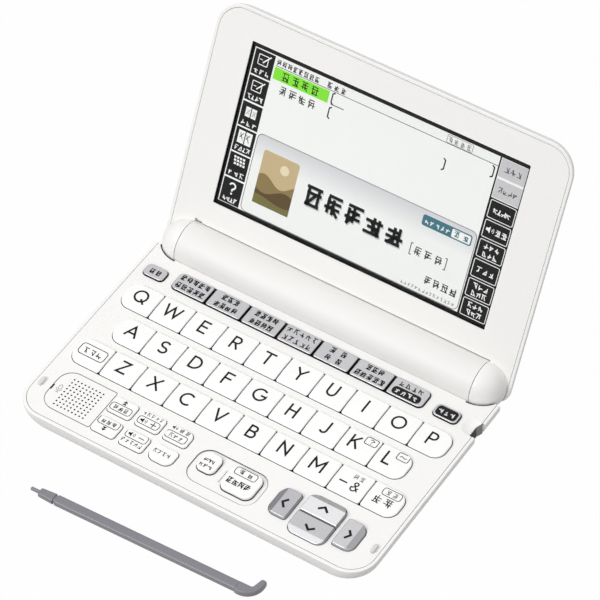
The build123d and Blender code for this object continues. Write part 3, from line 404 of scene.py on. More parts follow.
silver = silver_paint_with_painted_shade("silver_mica_paint_painted_shade", "#D3D3D6", "#19191B")
# The four cursor keys have dished tops that lean their own way, so each has its own painted shade.
CURSOR_PAINTED_LIGHT = {"left": "#C6C6CA", "up": "#F2F2F4", "down": "#CDCDD0", "right": "#D6D6D9"}
cursor_silver_painted_light = {way: silver_paint_with_painted_shade("silver_mica_paint_painted_shade_" + way, shade, "#B2B2B6")
                 for way, shade in CURSOR_PAINTED_LIGHT.items()}
print(silver.name, "and", len(cursor_silver_painted_light), "shades of it for the cursor keys")

# %% [markdown]
# ## Small parts
# Steel pins and screws, the polyester skin of the cable, the printed sleeve of the cells, the green
# board and its dome film are only seen when something is open, but each has a finish of its own all
# the same. The rests on the deck are clear TPU, the feet are grey silicone rubber and the stylus is
# grey ABS.

# %% Small materials
steel, tree, shader, place = new_material("turned_stainless_steel", "#C3C4C6", 0.3, metallic=1.0)
# Turning marks lie about 0.05 mm apart. They are drawn 0.94 mm apart, as a slow change in gloss.
# The wave node makes 20 / tau bands in each unit.
TURNING_MM = 0.15 * math.tau
marks = node(tree, "TexWave", {"Scale": math.tau / (20 * TURNING_MM * MM), "Distortion": 0.6,
                               "bands_direction": "X"}, {"Vector": place})
wear = node(tree, "MapRange", {"To Min": 0.22, "To Max": 0.38}, {"Value": marks.outputs["Color"]})
tree.links.new(wear.outputs[0], shader.inputs["Roughness"])

# After the colour come the roughness, the grain and its depth in mm, and the drift in colour.
cable_skin = moulded("black_polyester_cable_skin", "#2A2A2C", 0.5, 0.6, 0.01, 0.1)
cell_sleeve = moulded("printed_cell_sleeve", "#5E6268", 0.3, 0.8, 0.002, 0.05)
solder_mask = moulded("green_solder_mask", "#2F5D43", 0.35, 1.2, 0.01, 0.15, 1.55)
dome_film = moulded("carbon_dot_dome_film", "#C8A765", 0.32, 0.8, 0.004, 0.06, 1.57)
speaker_steel = moulded("black_enamelled_steel", "#39393B", 0.4, 0.5, 0.004, 0.05)
sleeve_abs = moulded("black_abs_sleeve", "#2C2C2E", 0.5, 0.6, 0.006, 0.04)
foot_rubber = moulded("grey_silicone_rubber", "#8E8E90", 0.7, 0.5, 0.01, 0.08, 1.42)
stylus_grey = moulded("grey_satin_abs", "#817F86", 0.36, 0.5, 0.004, 0.05)
rest_tpu, tree, shader, place = new_material("clear_tpu", "#E2E2E0", 0.3, 1.49)
shader.inputs["Transmission Weight"].default_value = 0.12
print("small materials made")

# %% [markdown]
# ## The display
# The module is a black glass cell behind a thin clear touch panel. The panel is polyester film on
# glass, and mostly lets the page through, so it gets a low alpha and keeps only its reflection.

# %% Display materials
cell_glass = moulded("black_display_glass", "#0B0B0D", 0.2, 0.5, 0.0005, 0.1, 1.52)
touch_film, tree, shader, place = new_material("touch_film", "#101012", 0.12, 1.5)
shader.inputs["Alpha"].default_value = 0.06
print(cell_glass.name, touch_film.name)

# %% [markdown]
# ## Every part gets its finish
# The solids already have their real shape, with their roundings and seams, so nothing has to be
# modelled over them. A table from part to finish is all that it takes, and it shows at a glance
# that none is left out.

# %% Give each node its finish
letters = "qwertyuiopasdfghjklzxcvbnm"
finish_of = {
    "lower_case": white_abs, "lid_bezel": white_abs, "lid_back_cover": white_abs,
    "upper_case": panel_abs_painted_shade, "hinge_barrel": pearl_lacquer, "battery_door": pearl_lacquer,
    "hinge_pins": steel, "battery_contacts": steel, "case_screws": steel, "side_ports": steel,
    "display_cable": cable_skin, "batteries": cell_sleeve, "main_board": solder_mask,
    "dome_sheet": dome_film, "speaker": speaker_steel, "stylus_sleeve": sleeve_abs,
    "rubber_feet": foot_rubber, "deck_bumpers": rest_tpu, "stylus": stylus_grey,
    "lcd_module": cell_glass, "touch_panel": touch_film,
    "function_keys": silver, "key_power": silver, "key_home": silver,
    "small_keys": key_white, "key_back": key_white, "key_enter": key_white,
    "key_shift": key_white, "key_minus": key_white, "key_delete": key_white,
}
for name in letters:
    finish_of["key_" + name] = key_white
for way, paint in cursor_silver_painted_light.items():
    finish_of["key_" + way] = paint

for name, material in finish_of.items():
    slots = nodes[name].data.materials
    slots.clear()
    slots.append(material)
print("finished", len(finish_of), "left", sorted(set(nodes) - set(finish_of)))

# %% [markdown]
# ## Ink for the legends
# The legends on real keys are pad-printed: a film of ink about 0.01 mm thick that follows the
# curved top. Here each print is a thin skin of small faces. A stroke is laid out flat in
# millimetres as a ribbon, and then every corner of it is dropped onto the key with a ray, and
# lifted by a hair. That keeps a legend on its key at any shape of top, and it moves with the key
# when the key is pressed.


# %% Ribbons and fills
def along(points, closed=False, step=0.9):
    """The points of a line, with more put in so that no two are further apart than the step."""
    points = [Vector(p) for p in points]
    ends = points[1:] + (points[:1] if closed else [])
    line = []
    for start, end in zip(points, ends):
        pieces = max(1, math.ceil((end - start).length / step))
        line += [start.lerp(end, i / pieces) for i in range(pieces)]
    return line if closed else line + [points[-1]]


SHARPEST_MITRE = 0.45
CORNER_PIECES = 5


def ribbon(points, width, closed=False):
    """A line drawn with a pen of that width, as a row of four-sided faces with mitred corners."""
    line = along(points, closed)
    sides = []
    for i, here in enumerate(line):
        before = line[i - 1] if closed or i else None
        after = line[(i + 1) % len(line)] if closed or i < len(line) - 1 else None
        way_in = ((here - before) if before else (after - here)).normalized()
        way_out = ((after - here) if after else way_in).normalized()
        across = Vector((-way_in.y - way_out.y, way_in.x + way_out.x))
        across = across.normalized() if across.length > 1e-6 else Vector((-way_in.y, way_in.x))
        reach = width / 2 / max(SHARPEST_MITRE, across.dot(Vector((-way_in.y, way_in.x))))
        sides.append((here + across * reach, here - across * reach))
    pairs = list(zip(sides, sides[1:] + (sides[:1] if closed else [])))
    return [(a[1], b[1], b[0], a[0]) for a, b in pairs[:None if closed else len(sides) - 1]]


def arc(x, y, radius_x, radius_y, start, end, pieces=14):
    """Points on an ellipse between two angles in degrees."""
    turns = [math.radians(start + (end - start) * i / pieces) for i in range(pieces + 1)]
    return [(x + radius_x * math.cos(t), y + radius_y * math.sin(t)) for t in turns]


def rounded(x0, y0, x1, y1, radius):
    """The corners of a rectangle with rounded corners, in order."""
    line = []
    for x, y, start in ((x1, y1, 0), (x0, y1, 90), (x0, y0, 180), (x1, y0, 270)):
        middle_x = x + (radius if x == x0 else -radius)
        middle_y = y + (radius if y == y0 else -radius)
        line += arc(middle_x, middle_y, radius, radius, start, start + 90, CORNER_PIECES)
    return line


def box_line(x0, y0, x1, y1, radius, width):
    """A rounded box drawn as an outline."""
    return ribbon(rounded(x0, y0, x1, y1, radius), width, closed=True)


def block(x0, y0, x1, y1, radius=0.0):
    """A filled box."""
    if radius:
        return [rounded(x0, y0, x1, y1, radius)]
    return [[(x0, y0), (x1, y0), (x1, y1), (x0, y1)]]


print("a ribbon of", len(ribbon([(0, 0), (5, 0)], 0.6)), "faces")

# %% [markdown]
# ## The alphabet
# The letters are a plain geometric sans: one even stroke, round letters on true circles, 5 mm high
# between the middles of the strokes. A font would need its outlines filled and cut up before they
# could bend over a key, so the alphabet is written as pen strokes, which the ribbon turns into
# faces directly.

# %% Letter strokes
CAP = 5.0
PEN = 0.78
ROUND = CAP / 2


def bowl(x, turn_x, low, high):
    """The bow of a B, D, P or R: out from the stem, round, and back."""
    radius = (high - low) / 2
    return [(x, high), *arc(turn_x, low + radius, radius, radius, 90, -90), (x, low)]


STROKES = {
    "a": [[(-2.25, 0), (0, CAP), (2.25, 0)], [(-1.45, 1.7), (1.45, 1.7)]],
    "b": [[(-1.5, -0.39), (-1.5, 5.39)], bowl(-1.5, 0.1, 2.65, 5), bowl(-1.5, 0.3, 0, 2.65)],
    "c": [arc(0, ROUND, 2.5, 2.5, 48, 312, 24)],
    "d": [[(-1.9, -0.39), (-1.9, 5.39)], bowl(-1.9, -0.45, 0, 5)],
    "e": [[(-1.45, -0.39), (-1.45, 5.39)], [(-1.45, 5), (1.7, 5)], [(-1.45, 2.6), (1.5, 2.6)],
          [(-1.45, 0), (1.7, 0)]],
    "f": [[(-1.45, -0.39), (-1.45, 5.39)], [(-1.45, 5), (1.7, 5)], [(-1.45, 2.55), (1.4, 2.55)]],
    "g": [[*arc(0, ROUND, 2.5, 2.5, 48, 358, 26), (2.45, 2.3), (0.4, 2.3)]],
    "h": [[(-1.6, -0.39), (-1.6, 5.39)], [(1.6, -0.39), (1.6, 5.39)], [(-1.6, 2.6), (1.6, 2.6)]],
    "i": [[(0, -0.39), (0, 5.39)]],
    "j": [[(1.15, 5.39), *arc(-0.1, 1.25, 1.25, 1.25, 0, -150)]],
    "k": [[(-1.5, -0.39), (-1.5, 5.39)], [(1.6, 5.2), (-1.5, 1.9)], [(-0.4, 3.05), (1.9, -0.25)]],
    "l": [[(-1.2, 5.39), (-1.2, 0), (1.6, 0)]],
    "m": [[(-2.3, -0.39), (-2.3, CAP), (0, 1.5), (2.3, CAP), (2.3, -0.39)]],
    "n": [[(-1.8, -0.39), (-1.8, CAP), (1.8, 0), (1.8, 5.39)]],
    "o": [arc(0, ROUND, 2.5, 2.5, 0, 360, 28)],
    "p": [[(-1.4, -0.39), (-1.4, 5.39)], bowl(-1.4, 0.1, 2.2, 5)],
    "q": [arc(0, ROUND, 2.5, 2.5, 0, 360, 28), [(0.6, 1.4), (2.5, -0.5)]],
    "r": [[(-1.4, -0.39), (-1.4, 5.39)], bowl(-1.4, 0.1, 2.3, 5), [(-0.1, 2.3), (1.65, -0.2)]],
    "s": [[*arc(0, 3.72, 1.5, 1.28, 32, 270, 14), *arc(0, 1.22, 1.62, 1.22, 90, -148, 14)[1:]]],
    "t": [[(-2.3, 5), (2.3, 5)], [(0, 5), (0, -0.39)]],
    "u": [[(-1.7, 5.39), *arc(0, 1.7, 1.7, 1.7, 180, 360), (1.7, 5.39)]],
    "v": [[(-2.15, 5.25), (0, 0), (2.15, 5.25)]],
    "w": [[(-3.2, 5.25), (-1.65, 0), (0, 4.7), (1.65, 0), (3.2, 5.25)]],
    "x": [[(-2.1, 5.2), (2.1, -0.2)], [(2.0, 5.2), (-2.2, -0.2)]],
    "y": [[(-2.1, 5.2), (0, 2.4), (2.1, 5.2)], [(0, 2.5), (0, -0.39)]],
    "z": [[(-1.8, 5), (1.75, 5), (-1.85, 0), (1.95, 0)]],
}
print("letters", len(STROKES))

# %% [markdown]
# ## Mock writing
# The other legends name functions in a language that this object leaves open. They are greeked:
# made-up signs of a few level, upright and slanting strokes in a square, at the size and density of
# real printing. The random numbers start from a fixed seed, so that the same marks come out each
# time.


# %% Mock signs
def mock_sign(draw, x, y, size, pen, dense=True):
    """One made-up sign with its lower left corner at x, y, drawn in shares of its size."""
    marks = []
    levels = draw.sample([0.08, 0.36, 0.64, 0.92], 3 if dense else 1)
    for level in levels:
        marks.append([(draw.uniform(0.02, 0.22), level), (draw.uniform(0.78, 0.98), level)])
    for upright in draw.sample([0.24, 0.5, 0.76], 2 if dense else 1):
        marks.append([(upright, draw.uniform(0.0, 0.2)), (upright, draw.uniform(0.75, 1.0))])
    lean = draw.choice([-0.3, 0.3])
    marks.append([(0.5 + lean, 0.02),
                  (0.5 - lean * draw.uniform(0.2, 0.8), draw.uniform(0.45, 0.95))])
    faces = []
    for (ax, ay), (bx, by) in marks:
        faces += ribbon([(x + ax * size, y + ay * size), (x + bx * size, y + by * size)], pen)
    return faces


def mock_line(seed, x0, x1, y, count, size, pen, dense=True):
    """A line of made-up signs, spread evenly from x0 to x1."""
    draw = random.Random(seed)
    faces = []
    for i in range(count):
        place = x0 if count == 1 else x0 + (x1 - x0 - size) * i / (count - 1)
        faces += mock_sign(draw, place, y, size, pen, dense)
    return faces


print("one sign has", len(mock_sign(random.Random(1), 0, 0, 2, 0.25)), "faces")

# %% [markdown]
# ## Printing onto a node
# A print becomes one mesh for each key and ink. Its faces are dropped onto the mesh of the key that
# carries it. Ink sits 0.03 mm above the plastic: real ink is thinner, but that is enough to keep
# the two surfaces apart for the renderer and still too little to see from the side.

# %% Drop prints onto their nodes
INK_LIFT = 0.03
HIGH_ABOVE = 30.0
WELD = 0.001 * MM
trees = {}


def make_piece(name, faces, material, body, place):
    """A mesh from flat faces in millimetres; place turns a flat point into one in the row frame."""
    mesh = bpy.data.meshes.new(name)
    corners, polygons = [], []
    for face in faces:
        start = len(corners)
        corners += [place(Vector(p)) for p in face]
        polygons.append(range(start, len(corners)))
    mesh.from_pydata(corners, [], polygons)
    mesh.materials.append(material)
    shape = bmesh.new()
    shape.from_mesh(mesh)
    bmesh.ops.remove_doubles(shape, verts=shape.verts, dist=WELD)
    bmesh.ops.recalc_face_normals(shape, faces=shape.faces)
    shape.to_mesh(mesh)
    shape.free()
    piece = bpy.data.objects.new(name, mesh)
    bpy.context.scene.collection.objects.link(piece)
    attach(piece, body)
    return piece


def surface_of(node_name):
    """The node's mesh as a tree that rays can be cast at."""
    if node_name not in trees:
        mesh = nodes[node_name].data
        trees[node_name] = BVHTree.FromPolygons(
            [v.co for v in mesh.vertices], [p.vertices for p in mesh.polygons])
    return trees[node_name]


def print_on(node_name, name, faces, material, lift=INK_LIFT):
    """Prints flat faces, seen from above, onto a node."""
    tree = surface_of(node_name)
    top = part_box(node_name)[1].z

    def drop(point):
        start = Vector((point.x * MM, point.y * MM, HIGH_ABOVE * MM))
        hit = tree.ray_cast(start, Vector((0, 0, -1)))[0]
        return Vector((start.x, start.y, (hit.z if hit else top) + lift * MM))

    return make_piece(name, faces, material, nodes[node_name]["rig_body"], drop)


black_ink = moulded("black_uv_ink", "#0A0A0B", 0.6, 0.6, 0.001, 0.15, 1.4)
grey_ink = moulded("grey_uv_ink", "#77777B", 0.5, 0.6, 0.001, 0.08)
white_ink = moulded("white_uv_ink", "#EDEDED", 0.5, 0.6, 0.001, 0.03)
pale_ink = moulded("pale_grey_uv_ink", "#A4A4A7", 0.5, 0.6, 0.001, 0.03)
print("inks", black_ink.name, grey_ink.name, white_ink.name, pale_ink.name)

# %% [markdown]
# ## Behind the holes, and in the gaps
# A piece of black gauze is glued under the speaker holes, and a smaller one under the microphone
# slot, which has a thin dark frame as well. They could be left out, because the case is dark
# inside, but light falls through the holes onto pale plastic and they would look grey. Flat discs
# just under the deck stop it. The mouth of the stylus bay in the right rim gets painted shadow:
# a dark sheet where the bore begins and a grey one beside it. A dark strip of painted shadow lies
# in the gap under each lid cap.

# %% Speaker gauze
DECK_TOP = 9.6
GRILLE_MIDDLE, GRILLE_PITCH, GRILLE_COUNT = (-54.575, -37.55), 1.58, 9
GAUZE_TOP, GAUZE_RADIUS = 9.48, 0.34
deck_body = nodes["upper_case"]["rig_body"]
discs = []
for i in range(GRILLE_COUNT):
    for j in range(GRILLE_COUNT):
        x = GRILLE_MIDDLE[0] + (i - (GRILLE_COUNT - 1) / 2) * GRILLE_PITCH
        y = GRILLE_MIDDLE[1] + (j - (GRILLE_COUNT - 1) / 2) * GRILLE_PITCH
        discs.append(arc(x, y, GAUZE_RADIUS, GAUZE_RADIUS, 0, 324, 9))


def under_deck(point):
    """A flat point just below the deck's surface."""
    return Vector((point.x * MM, point.y * MM, GAUZE_TOP * MM))


gauze = moulded("black_polyester_gauze", "#141415", 0.8, 0.15, 0.02, 0.3)
make_piece("speaker_gauze", discs, gauze, deck_body, under_deck)
print("gauze under", len(discs), "holes,", round(DECK_TOP - GAUZE_TOP, 2), "mm below the deck")

# %% Microphone
MICROPHONE_GAUZE = (-66.21, -38.88, -65.7, -36.62)
MICROPHONE_FRAME = (-66.3, -39.0, -65.64, -36.5)


def on_deck(point):
    """A flat point just above the deck's surface."""
    return Vector((point.x, point.y, DECK_TOP + INK_LIFT)) * MM


for name, box, place in (("microphone_gauze", MICROPHONE_GAUZE, under_deck),
                         ("microphone_frame", MICROPHONE_FRAME, on_deck)):
    make_piece(name, block(*box), gauze, deck_body, place)
print_on("upper_case", "mark_microphone", box_line(-63.85, -37.6, -62.65, -35.5, 0.6, 0.26)
         + ribbon(arc(-63.25, -37.1, 1.2, 1.2, 190, 350, 8), 0.24)
         + ribbon([(-63.25, -38.3), (-63.25, -39.0)], 0.28)
         + ribbon([(-63.95, -39.0), (-62.55, -39.0)], 0.24), pale_ink)
slot_size = [round(b - a, 2) for a, b in zip(MICROPHONE_GAUZE, MICROPHONE_GAUZE[2:])]
print("microphone slot", slot_size, "mm")

# %% Stylus bay and cap gaps
BAY_WALL = [(71.76, 21.25), (71.76, 25.72)]
BAY_SLANT = [(71.8, 25.8), (72.78, 28.15)]
BAY_LOW, BAY_HIGH = 4.0, 9.52
HINGE_Y, HINGE_Z = 42.95, 10.1
CAP_SHADOW_TOP, CAP_SHADOW_WIDTH = 9.3, 0.6
CAP_SHADOW_RADII = (9.73, 9.28)
# Each strip is an arc of an oval: the x of its middle, and the angles where it starts and ends.
CAP_GAP_OVALS = {"right": (63.4, -90, -33), "left": (-63.4, -147, -90)}


def upright(ends):
    """Turns a flat point (share of the way along the line, height) into one on an upright wall."""
    start, end = Vector(ends[0]), Vector(ends[1])

    def place(point):
        here = start.lerp(end, point.x)
        return Vector((here.x, here.y, point.y)) * MM
    return place


def in_cap_gap(point):
    """A flat point in the gap under a cap."""
    return Vector((point.x, point.y, CAP_SHADOW_TOP)) * MM


# Painted shadow: a dark and a grey sheet stand in for the shade inside the bay's mouth.
dark_bay_shadow = moulded("painted_shadow_in_bay_dark", "#434345", 0.85, 0.3, 0.03, 0.2)
grey_bay_shade = moulded("painted_shade_in_bay_grey", "#8B8B8A", 0.6, 0.5, 0.004, 0.06)
cap_gap_shadow = moulded("painted_shadow_cap_gap", "#38383A", 0.9, 0.4, 0.05, 0.25)
make_piece("bay_mouth_painted_shadow", block(0, BAY_LOW, 1, BAY_HIGH), dark_bay_shadow, deck_body,
           upright(BAY_WALL))
make_piece("bay_side_painted_shade", block(0, BAY_LOW, 1, BAY_HIGH), grey_bay_shade, deck_body,
           upright(BAY_SLANT))
# Painted shadow: a dark strip stands in for the shade in the gap under each lid cap.
for side, (x, start, end) in CAP_GAP_OVALS.items():
    strip = ribbon(arc(x, HINGE_Y, *CAP_SHADOW_RADII, start, end), CAP_SHADOW_WIDTH)
    make_piece("cap_gap_painted_shadow_" + side, strip, cap_gap_shadow, deck_body, in_cap_gap)
print("bay painted shadow from", BAY_LOW, "to", BAY_HIGH, "mm; foam strips", len(CAP_GAP_OVALS))

# %% [markdown]
# ## The legends, key by key
# The top of a key is level at the back and slopes down at the front, so its letter stands a little
# behind the middle, mostly on the level part. The letter keys lie on a grid, so one loop over the
# rows prints all of them. The other keys have legends of their own, whose places are written out in
# millimetres from the middle of the closed case.

# %% Key letters
KEY_PITCH = 13.83
LETTER_ROWS = (("qwertyuiop", 11.75, 4.5), ("asdfghjkl", -3.54, 4.0), ("zxcvbnm", -18.83, 3.5))
LETTER_SHIFT = -0.33
LETTER_DROP = 1.65
# K and L share their keys with a boxed mark at the right.
EXTRA_SHIFT = {"k": -1.6, "l": -1.65}
for row, row_y, middle in LETTER_ROWS:
    for i, letter in enumerate(row):
        x = (i - middle) * KEY_PITCH + LETTER_SHIFT + EXTRA_SHIFT.get(letter, 0)
        y = row_y - LETTER_DROP
        faces = []
        for stroke in STROKES[letter]:
            faces += ribbon([(x + px, y + py) for px, py in stroke], PEN)
        print_on("key_" + letter, "letter_" + letter, faces, black_ink)
print("printed", len(STROKES), "letters")

# %% Marks shared with K and L
FINE = 0.3
tilde = [(56.6, -0.2), (57.2, 0.35), (57.9, 0.1), (58.6, -0.2), (59.2, 0.3)]
print_on("key_k", "mark_k", box_line(42.4, -1.5, 47.2, 1.7, 0.7, FINE)
         + ribbon([(44.0, 0.8), (44.9, 1.1), (45.7, 0.6), (44.9, -0.1), (44.9, -0.4)], FINE)
         + block(44.75, -1.0, 45.1, -0.7), black_ink)
print_on("key_l", "mark_l", box_line(55.6, -1.5, 60.2, 1.7, 0.7, FINE)
         + ribbon(tilde, FINE), black_ink)
print("boxed marks drawn with a pen of", FINE, "mm")

# %% Marks on the other white keys
ampersand = [(52.0, -21.2), (50.2, -18.9), *arc(50.5, -18.3, 0.75, 0.7, 200, -60, 10),
             (49.7, -20.0), *arc(50.2, -20.4, 1.0, 0.95, 150, 320, 10), (51.9, -19.7)]
print_on("key_minus", "mark_minus", ribbon([(44.0, -19.4), (47.2, -19.4)], 0.6)
         + ribbon(ampersand, 0.5), black_ink)
print_on("key_minus", "note_minus", mock_line(11, 47.6, 52.0, -16.6, 2, 2.0, 0.22), grey_ink)
print_on("key_shift", "mark_shift", box_line(-67.6, -20.6, -56.7, -15.6, 1.3, 0.32)
         + mock_line(12, -66.2, -58.1, -19.6, 3, 2.5, 0.34, dense=False), black_ink)
print_on("key_delete", "mark_delete", box_line(59.6, -17.1, 67.0, -13.9, 1.0, 0.28)
         + mock_line(13, 58.0, 65.8, -21.4, 2, 3.6, 0.32), black_ink)
print_on("key_delete", "note_delete", mock_line(14, 60.9, 65.7, -16.5, 2, 2.0, 0.22), grey_ink)
print_on("key_back", "mark_back", mock_line(15, -1.2, 3.4, -37.4, 3, 1.9, 0.26, dense=False)
         + mock_line(16, -1.6, 3.9, -40.0, 3, 1.9, 0.26, dense=False), black_ink)
print_on("key_enter", "mark_enter", box_line(11.0, -36.4, 19.8, -33.2, 1.0, 0.28)
         + mock_line(17, 12.6, 18.2, -35.8, 2, 2.1, 0.24)
         + mock_line(18, 10.4, 20.3, -41.0, 4, 2.7, 0.32), black_ink)
print("white keys marked")


# %% Marks on the small keys
def speaker_sign(x, y, size):
    """A small loudspeaker with two sound waves."""
    neck, rim, low, high = x + 0.3 * size, x + 0.62 * size, y + 0.3 * size, y + 0.7 * size
    faces = [[(x, low), (neck, low), (neck, high), (x, high)],
             [(neck, low), (rim, y), (rim, y + size), (neck, high)]]
    for reach in (0.3, 0.55):
        wave = arc(x + 0.66 * size, y + size / 2, reach * size, reach * size, -42, 42, 5)
        faces += ribbon(wave, 0.22)
    return faces


def double_arrow(x, y, way):
    """Two stacked triangles that point up or down."""
    faces = []
    for rise in (0.0, 0.95):
        base = y + way * rise
        faces.append([(x - 0.95, base), (x + 0.95, base), (x, base + way * 0.95)])
    return faces


SMALL_BOXES = ((-43.0, -35.5, -34.4, -32.3), (-43.0, -42.8, -34.4, -39.4),
               (-31.2, -35.5, -22.4, -32.3), (-31.2, -42.8, -22.4, -39.4),
               (-19.3, -35.5, -10.7, -32.3))
faces = []
for x0, y0, x1, y1 in SMALL_BOXES:
    faces += box_line(x0, y0, x1, y1, 1.1, 0.28)
faces += double_arrow(-38.8, -31.8, 1) + double_arrow(-38.8, -43.3, -1)
faces += mock_line(21, -41.8, -35.6, -34.9, 3, 1.9, 0.22)
faces += mock_line(22, -41.8, -35.6, -42.1, 3, 1.9, 0.22)
faces += speaker_sign(-30.2, -35.0, 2.2) + speaker_sign(-30.2, -42.2, 2.2)
for ends in ([(-26.0, -33.9), (-23.6, -33.9)], [(-24.8, -35.1), (-24.8, -32.7)],
             [(-26.0, -41.1), (-23.6, -41.1)]):
    faces += ribbon(ends, 0.34)
faces += mock_line(23, -31.2, -22.4, -31.5, 5, 1.5, 0.2, dense=False)
faces += mock_line(24, -31.2, -22.4, -45.2, 5, 1.7, 0.22, dense=False)
faces += mock_line(25, -18.0, -12.0, -34.9, 3, 1.9, 0.22, dense=False)
faces += speaker_sign(-18.6, -31.5, 1.7) + mock_line(26, -15.4, -11.2, -31.5, 2, 1.7, 0.2)
faces += mock_line(27, -18.7, -11.5, -43.4, 4, 1.8, 0.22, dense=False)
print_on("small_keys", "marks_small_keys", faces, black_ink)
print("small key marks", len(faces), "faces")

# %% Marks on the silver keys
FIRST_FUNCTION_X, FUNCTION_PITCH, FUNCTION_SEED = -49.4, 15.5, 30
UPPER_LINE, LOWER_LINE, SIGN = 26.95, 23.2, 2.45
# For each key: the signs in its upper line, those in its lower line, and the pitch of both.
FUNCTION_LINES = ((5, 5, 2.55), (3, 4, 2.55), (4, 4, 2.55), (5, 5, 2.55), (2, 2, 4.6), (3, 5, 2.55),
                  (4, 0, 2.5))
THIN_LABELS = (3, 6)
faces = []
for i, (above, below, pitch) in enumerate(FUNCTION_LINES):
    middle = FIRST_FUNCTION_X + FUNCTION_PITCH * i
    for j, (count, y) in enumerate(((above, UPPER_LINE), (below, LOWER_LINE))):
        half = (pitch * (count - 1) + SIGN) / 2
        if count:
            thin = i in THIN_LABELS
            faces += mock_line(FUNCTION_SEED + 2 * i + j, middle - half, middle + half, y, count,
                               SIGN, 0.36 if thin else 0.38, dense=not thin)
print_on("function_keys", "marks_function_keys", faces, black_ink)
print_on("function_keys", "label_menu_key", block(37.7, 22.7, 49.3, 26.3, 1.5), black_ink)
print_on("function_keys", "marks_menu_key",
         mock_line(45, 38.9, 48.1, 23.5, 4, 2.0, 0.34, dense=False), white_ink, lift=2 * INK_LIFT)
print_on("key_power", "mark_power", mock_line(46, -67.4, -62.5, 23.8, 2, 2.2, 0.36), black_ink)
print_on("key_home", "label_home", block(55.9, 22.8, 64.3, 27.2, 1.4), black_ink)
print_on("key_home", "mark_home", mock_line(47, 56.7, 63.4, 23.9, 3, 2.1, 0.36, dense=False),
         white_ink, lift=2 * INK_LIFT)

CHEVRONS = {
    "up": [(44.9, -34.3), (46.9, -32.6), (48.8, -34.3)],
    "down": [(45.0, -42.0), (47.0, -43.7), (48.9, -42.1)],
    "left": [(34.4, -36.3), (32.9, -38.2), (34.6, -40.2)],
    "right": [(59.3, -36.3), (60.8, -38.0), (59.4, -40.1)],
}
for name, points in CHEVRONS.items():
    print_on("key_" + name, "chevron_" + name, ribbon(points, 0.9), black_ink)
print("silver keys marked")

# %% [markdown]
# ## The page on the display
# The display shows a start page of a made-up reference work: soft keys down both sides, a search
# list with one green line, and a title card with a little picture. Every word is greeked. The page
# is built like a paper collage. Each colour is a sheet of flat faces, and the sheets lie two
# hundredths of a millimetre apart, between the glass and the display module, where the picture
# really is.

# %% Where the display lies
OPEN_ANGLE = 118.7
LID_AXIS = Vector((0, HINGE_Y, HINGE_Z))
LID_LEAN = math.radians(180 - OPEN_ANGLE)
LID_UP = Vector((0, math.cos(LID_LEAN), math.sin(LID_LEAN)))
LID_OUT = Vector((0, -math.sin(LID_LEAN), math.cos(LID_LEAN)))
PAGE_DEPTH = -2.69
GLASS_BACK = -2.6
LAYER_STEP, TOP_LAYER = 0.016, 4.2


def on_lid(depth):
    """A function that takes a flat point on the lid into space, that far out from the hinge."""
    def place(point):
        return (LID_AXIS + Vector((point.x, 0, 0)) + LID_UP * point.y + LID_OUT * depth) * MM
    return place


def show(name, faces, material, layer):
    """One coloured sheet of the page."""
    return make_piece("page_" + name, faces, material, "lid",
                      on_lid(PAGE_DEPTH + layer * LAYER_STEP))


page_top = PAGE_DEPTH + TOP_LAYER * LAYER_STEP
print("the page ends at", round(page_top, 3), "mm and the glass starts at", GLASS_BACK, "mm")

# %% [markdown]
# ## Lit colours
# A backlit display is its own source of light, but in a bright room it looks much like printed
# paper. So its colours are mostly ordinary ones, with a little glow on top. The grid of cells is
# about 0.24 mm, which is drawn as a faint ripple in brightness.

# %% Display colours
CELL_MM = 0.24
CELL_RIPPLE = 0.975
GLOW = 0.2


def lit(name, colour):
    """A display colour with the faint grid of its cells."""
    material, tree, shader, place = new_material(name, colour, 0.35, 1.5)
    cells = node(tree, "TexChecker", {"Scale": 1 / (CELL_MM * MM)}, {"Vector": place})
    cells.inputs["Color1"].default_value = linear(colour)
    cells.inputs["Color2"].default_value = (*[c * CELL_RIPPLE for c in linear(colour)[:3]], 1)
    tree.links.new(cells.outputs["Color"], shader.inputs["Base Color"])
    tree.links.new(cells.outputs["Color"], shader.inputs["Emission Color"])
    shader.inputs["Emission Strength"].default_value = GLOW
    return material


lit_white = lit("lit_page_white", "#F8FAF8")
lit_black = lit("lit_page_black", "#040405")
lit_grey = lit("lit_page_grey", "#CDCDCF")
lit_line = lit("lit_page_line", "#8C8C90")
lit_green = lit("lit_page_green", "#86EA38")
lit_teal = lit("lit_page_teal", "#417684")
print("display colours", GLOW)

# %% Page and border
SCREEN_HALF, SCREEN_LOW, SCREEN_HIGH = 58.0, 18.7, 83.4
OVER = 0.9
show("border", block(-SCREEN_HALF - OVER, SCREEN_LOW - OVER,
                     SCREEN_HALF + OVER, SCREEN_HIGH + OVER), lit_black, 0)
show("paper", block(-56.9, 20.1, 57.1, 81.4), lit_white, 1)
print("display", 2 * SCREEN_HALF, "by", round(SCREEN_HIGH - SCREEN_LOW, 1), "mm")

# %% Soft keys on both sides
LEFT_CELLS = ((81.0, 71.2), (70.6, 61.0), (60.3, 50.8), (50.2, 40.6), (40.0, 30.6), (29.9, 20.3))
RIGHT_CELLS = ((65.3, 58.6), (57.6, 51.0), (50.0, 43.3), (42.2, 35.5), (34.5, 27.8), (26.8, 20.2))
GREY_CELLS = ((81.2, 74.3), (73.4, 66.3))
dark, pale, ink = [], [], []
for i, (top, low) in enumerate(LEFT_CELLS):
    dark += block(-56.5, low, -48.1, top)
dark += block(45.7, 20.1, 57.1, 66.0) + block(45.7, 66.0, 46.3, 81.4)
show("keys_dark", dark, lit_black, 2)
for top, low in GREY_CELLS:
    pale += block(46.5, low, 57.0, top)
show("keys_grey", pale, lit_grey, 2)
print("soft keys", len(LEFT_CELLS), "and", len(RIGHT_CELLS) + len(GREY_CELLS))

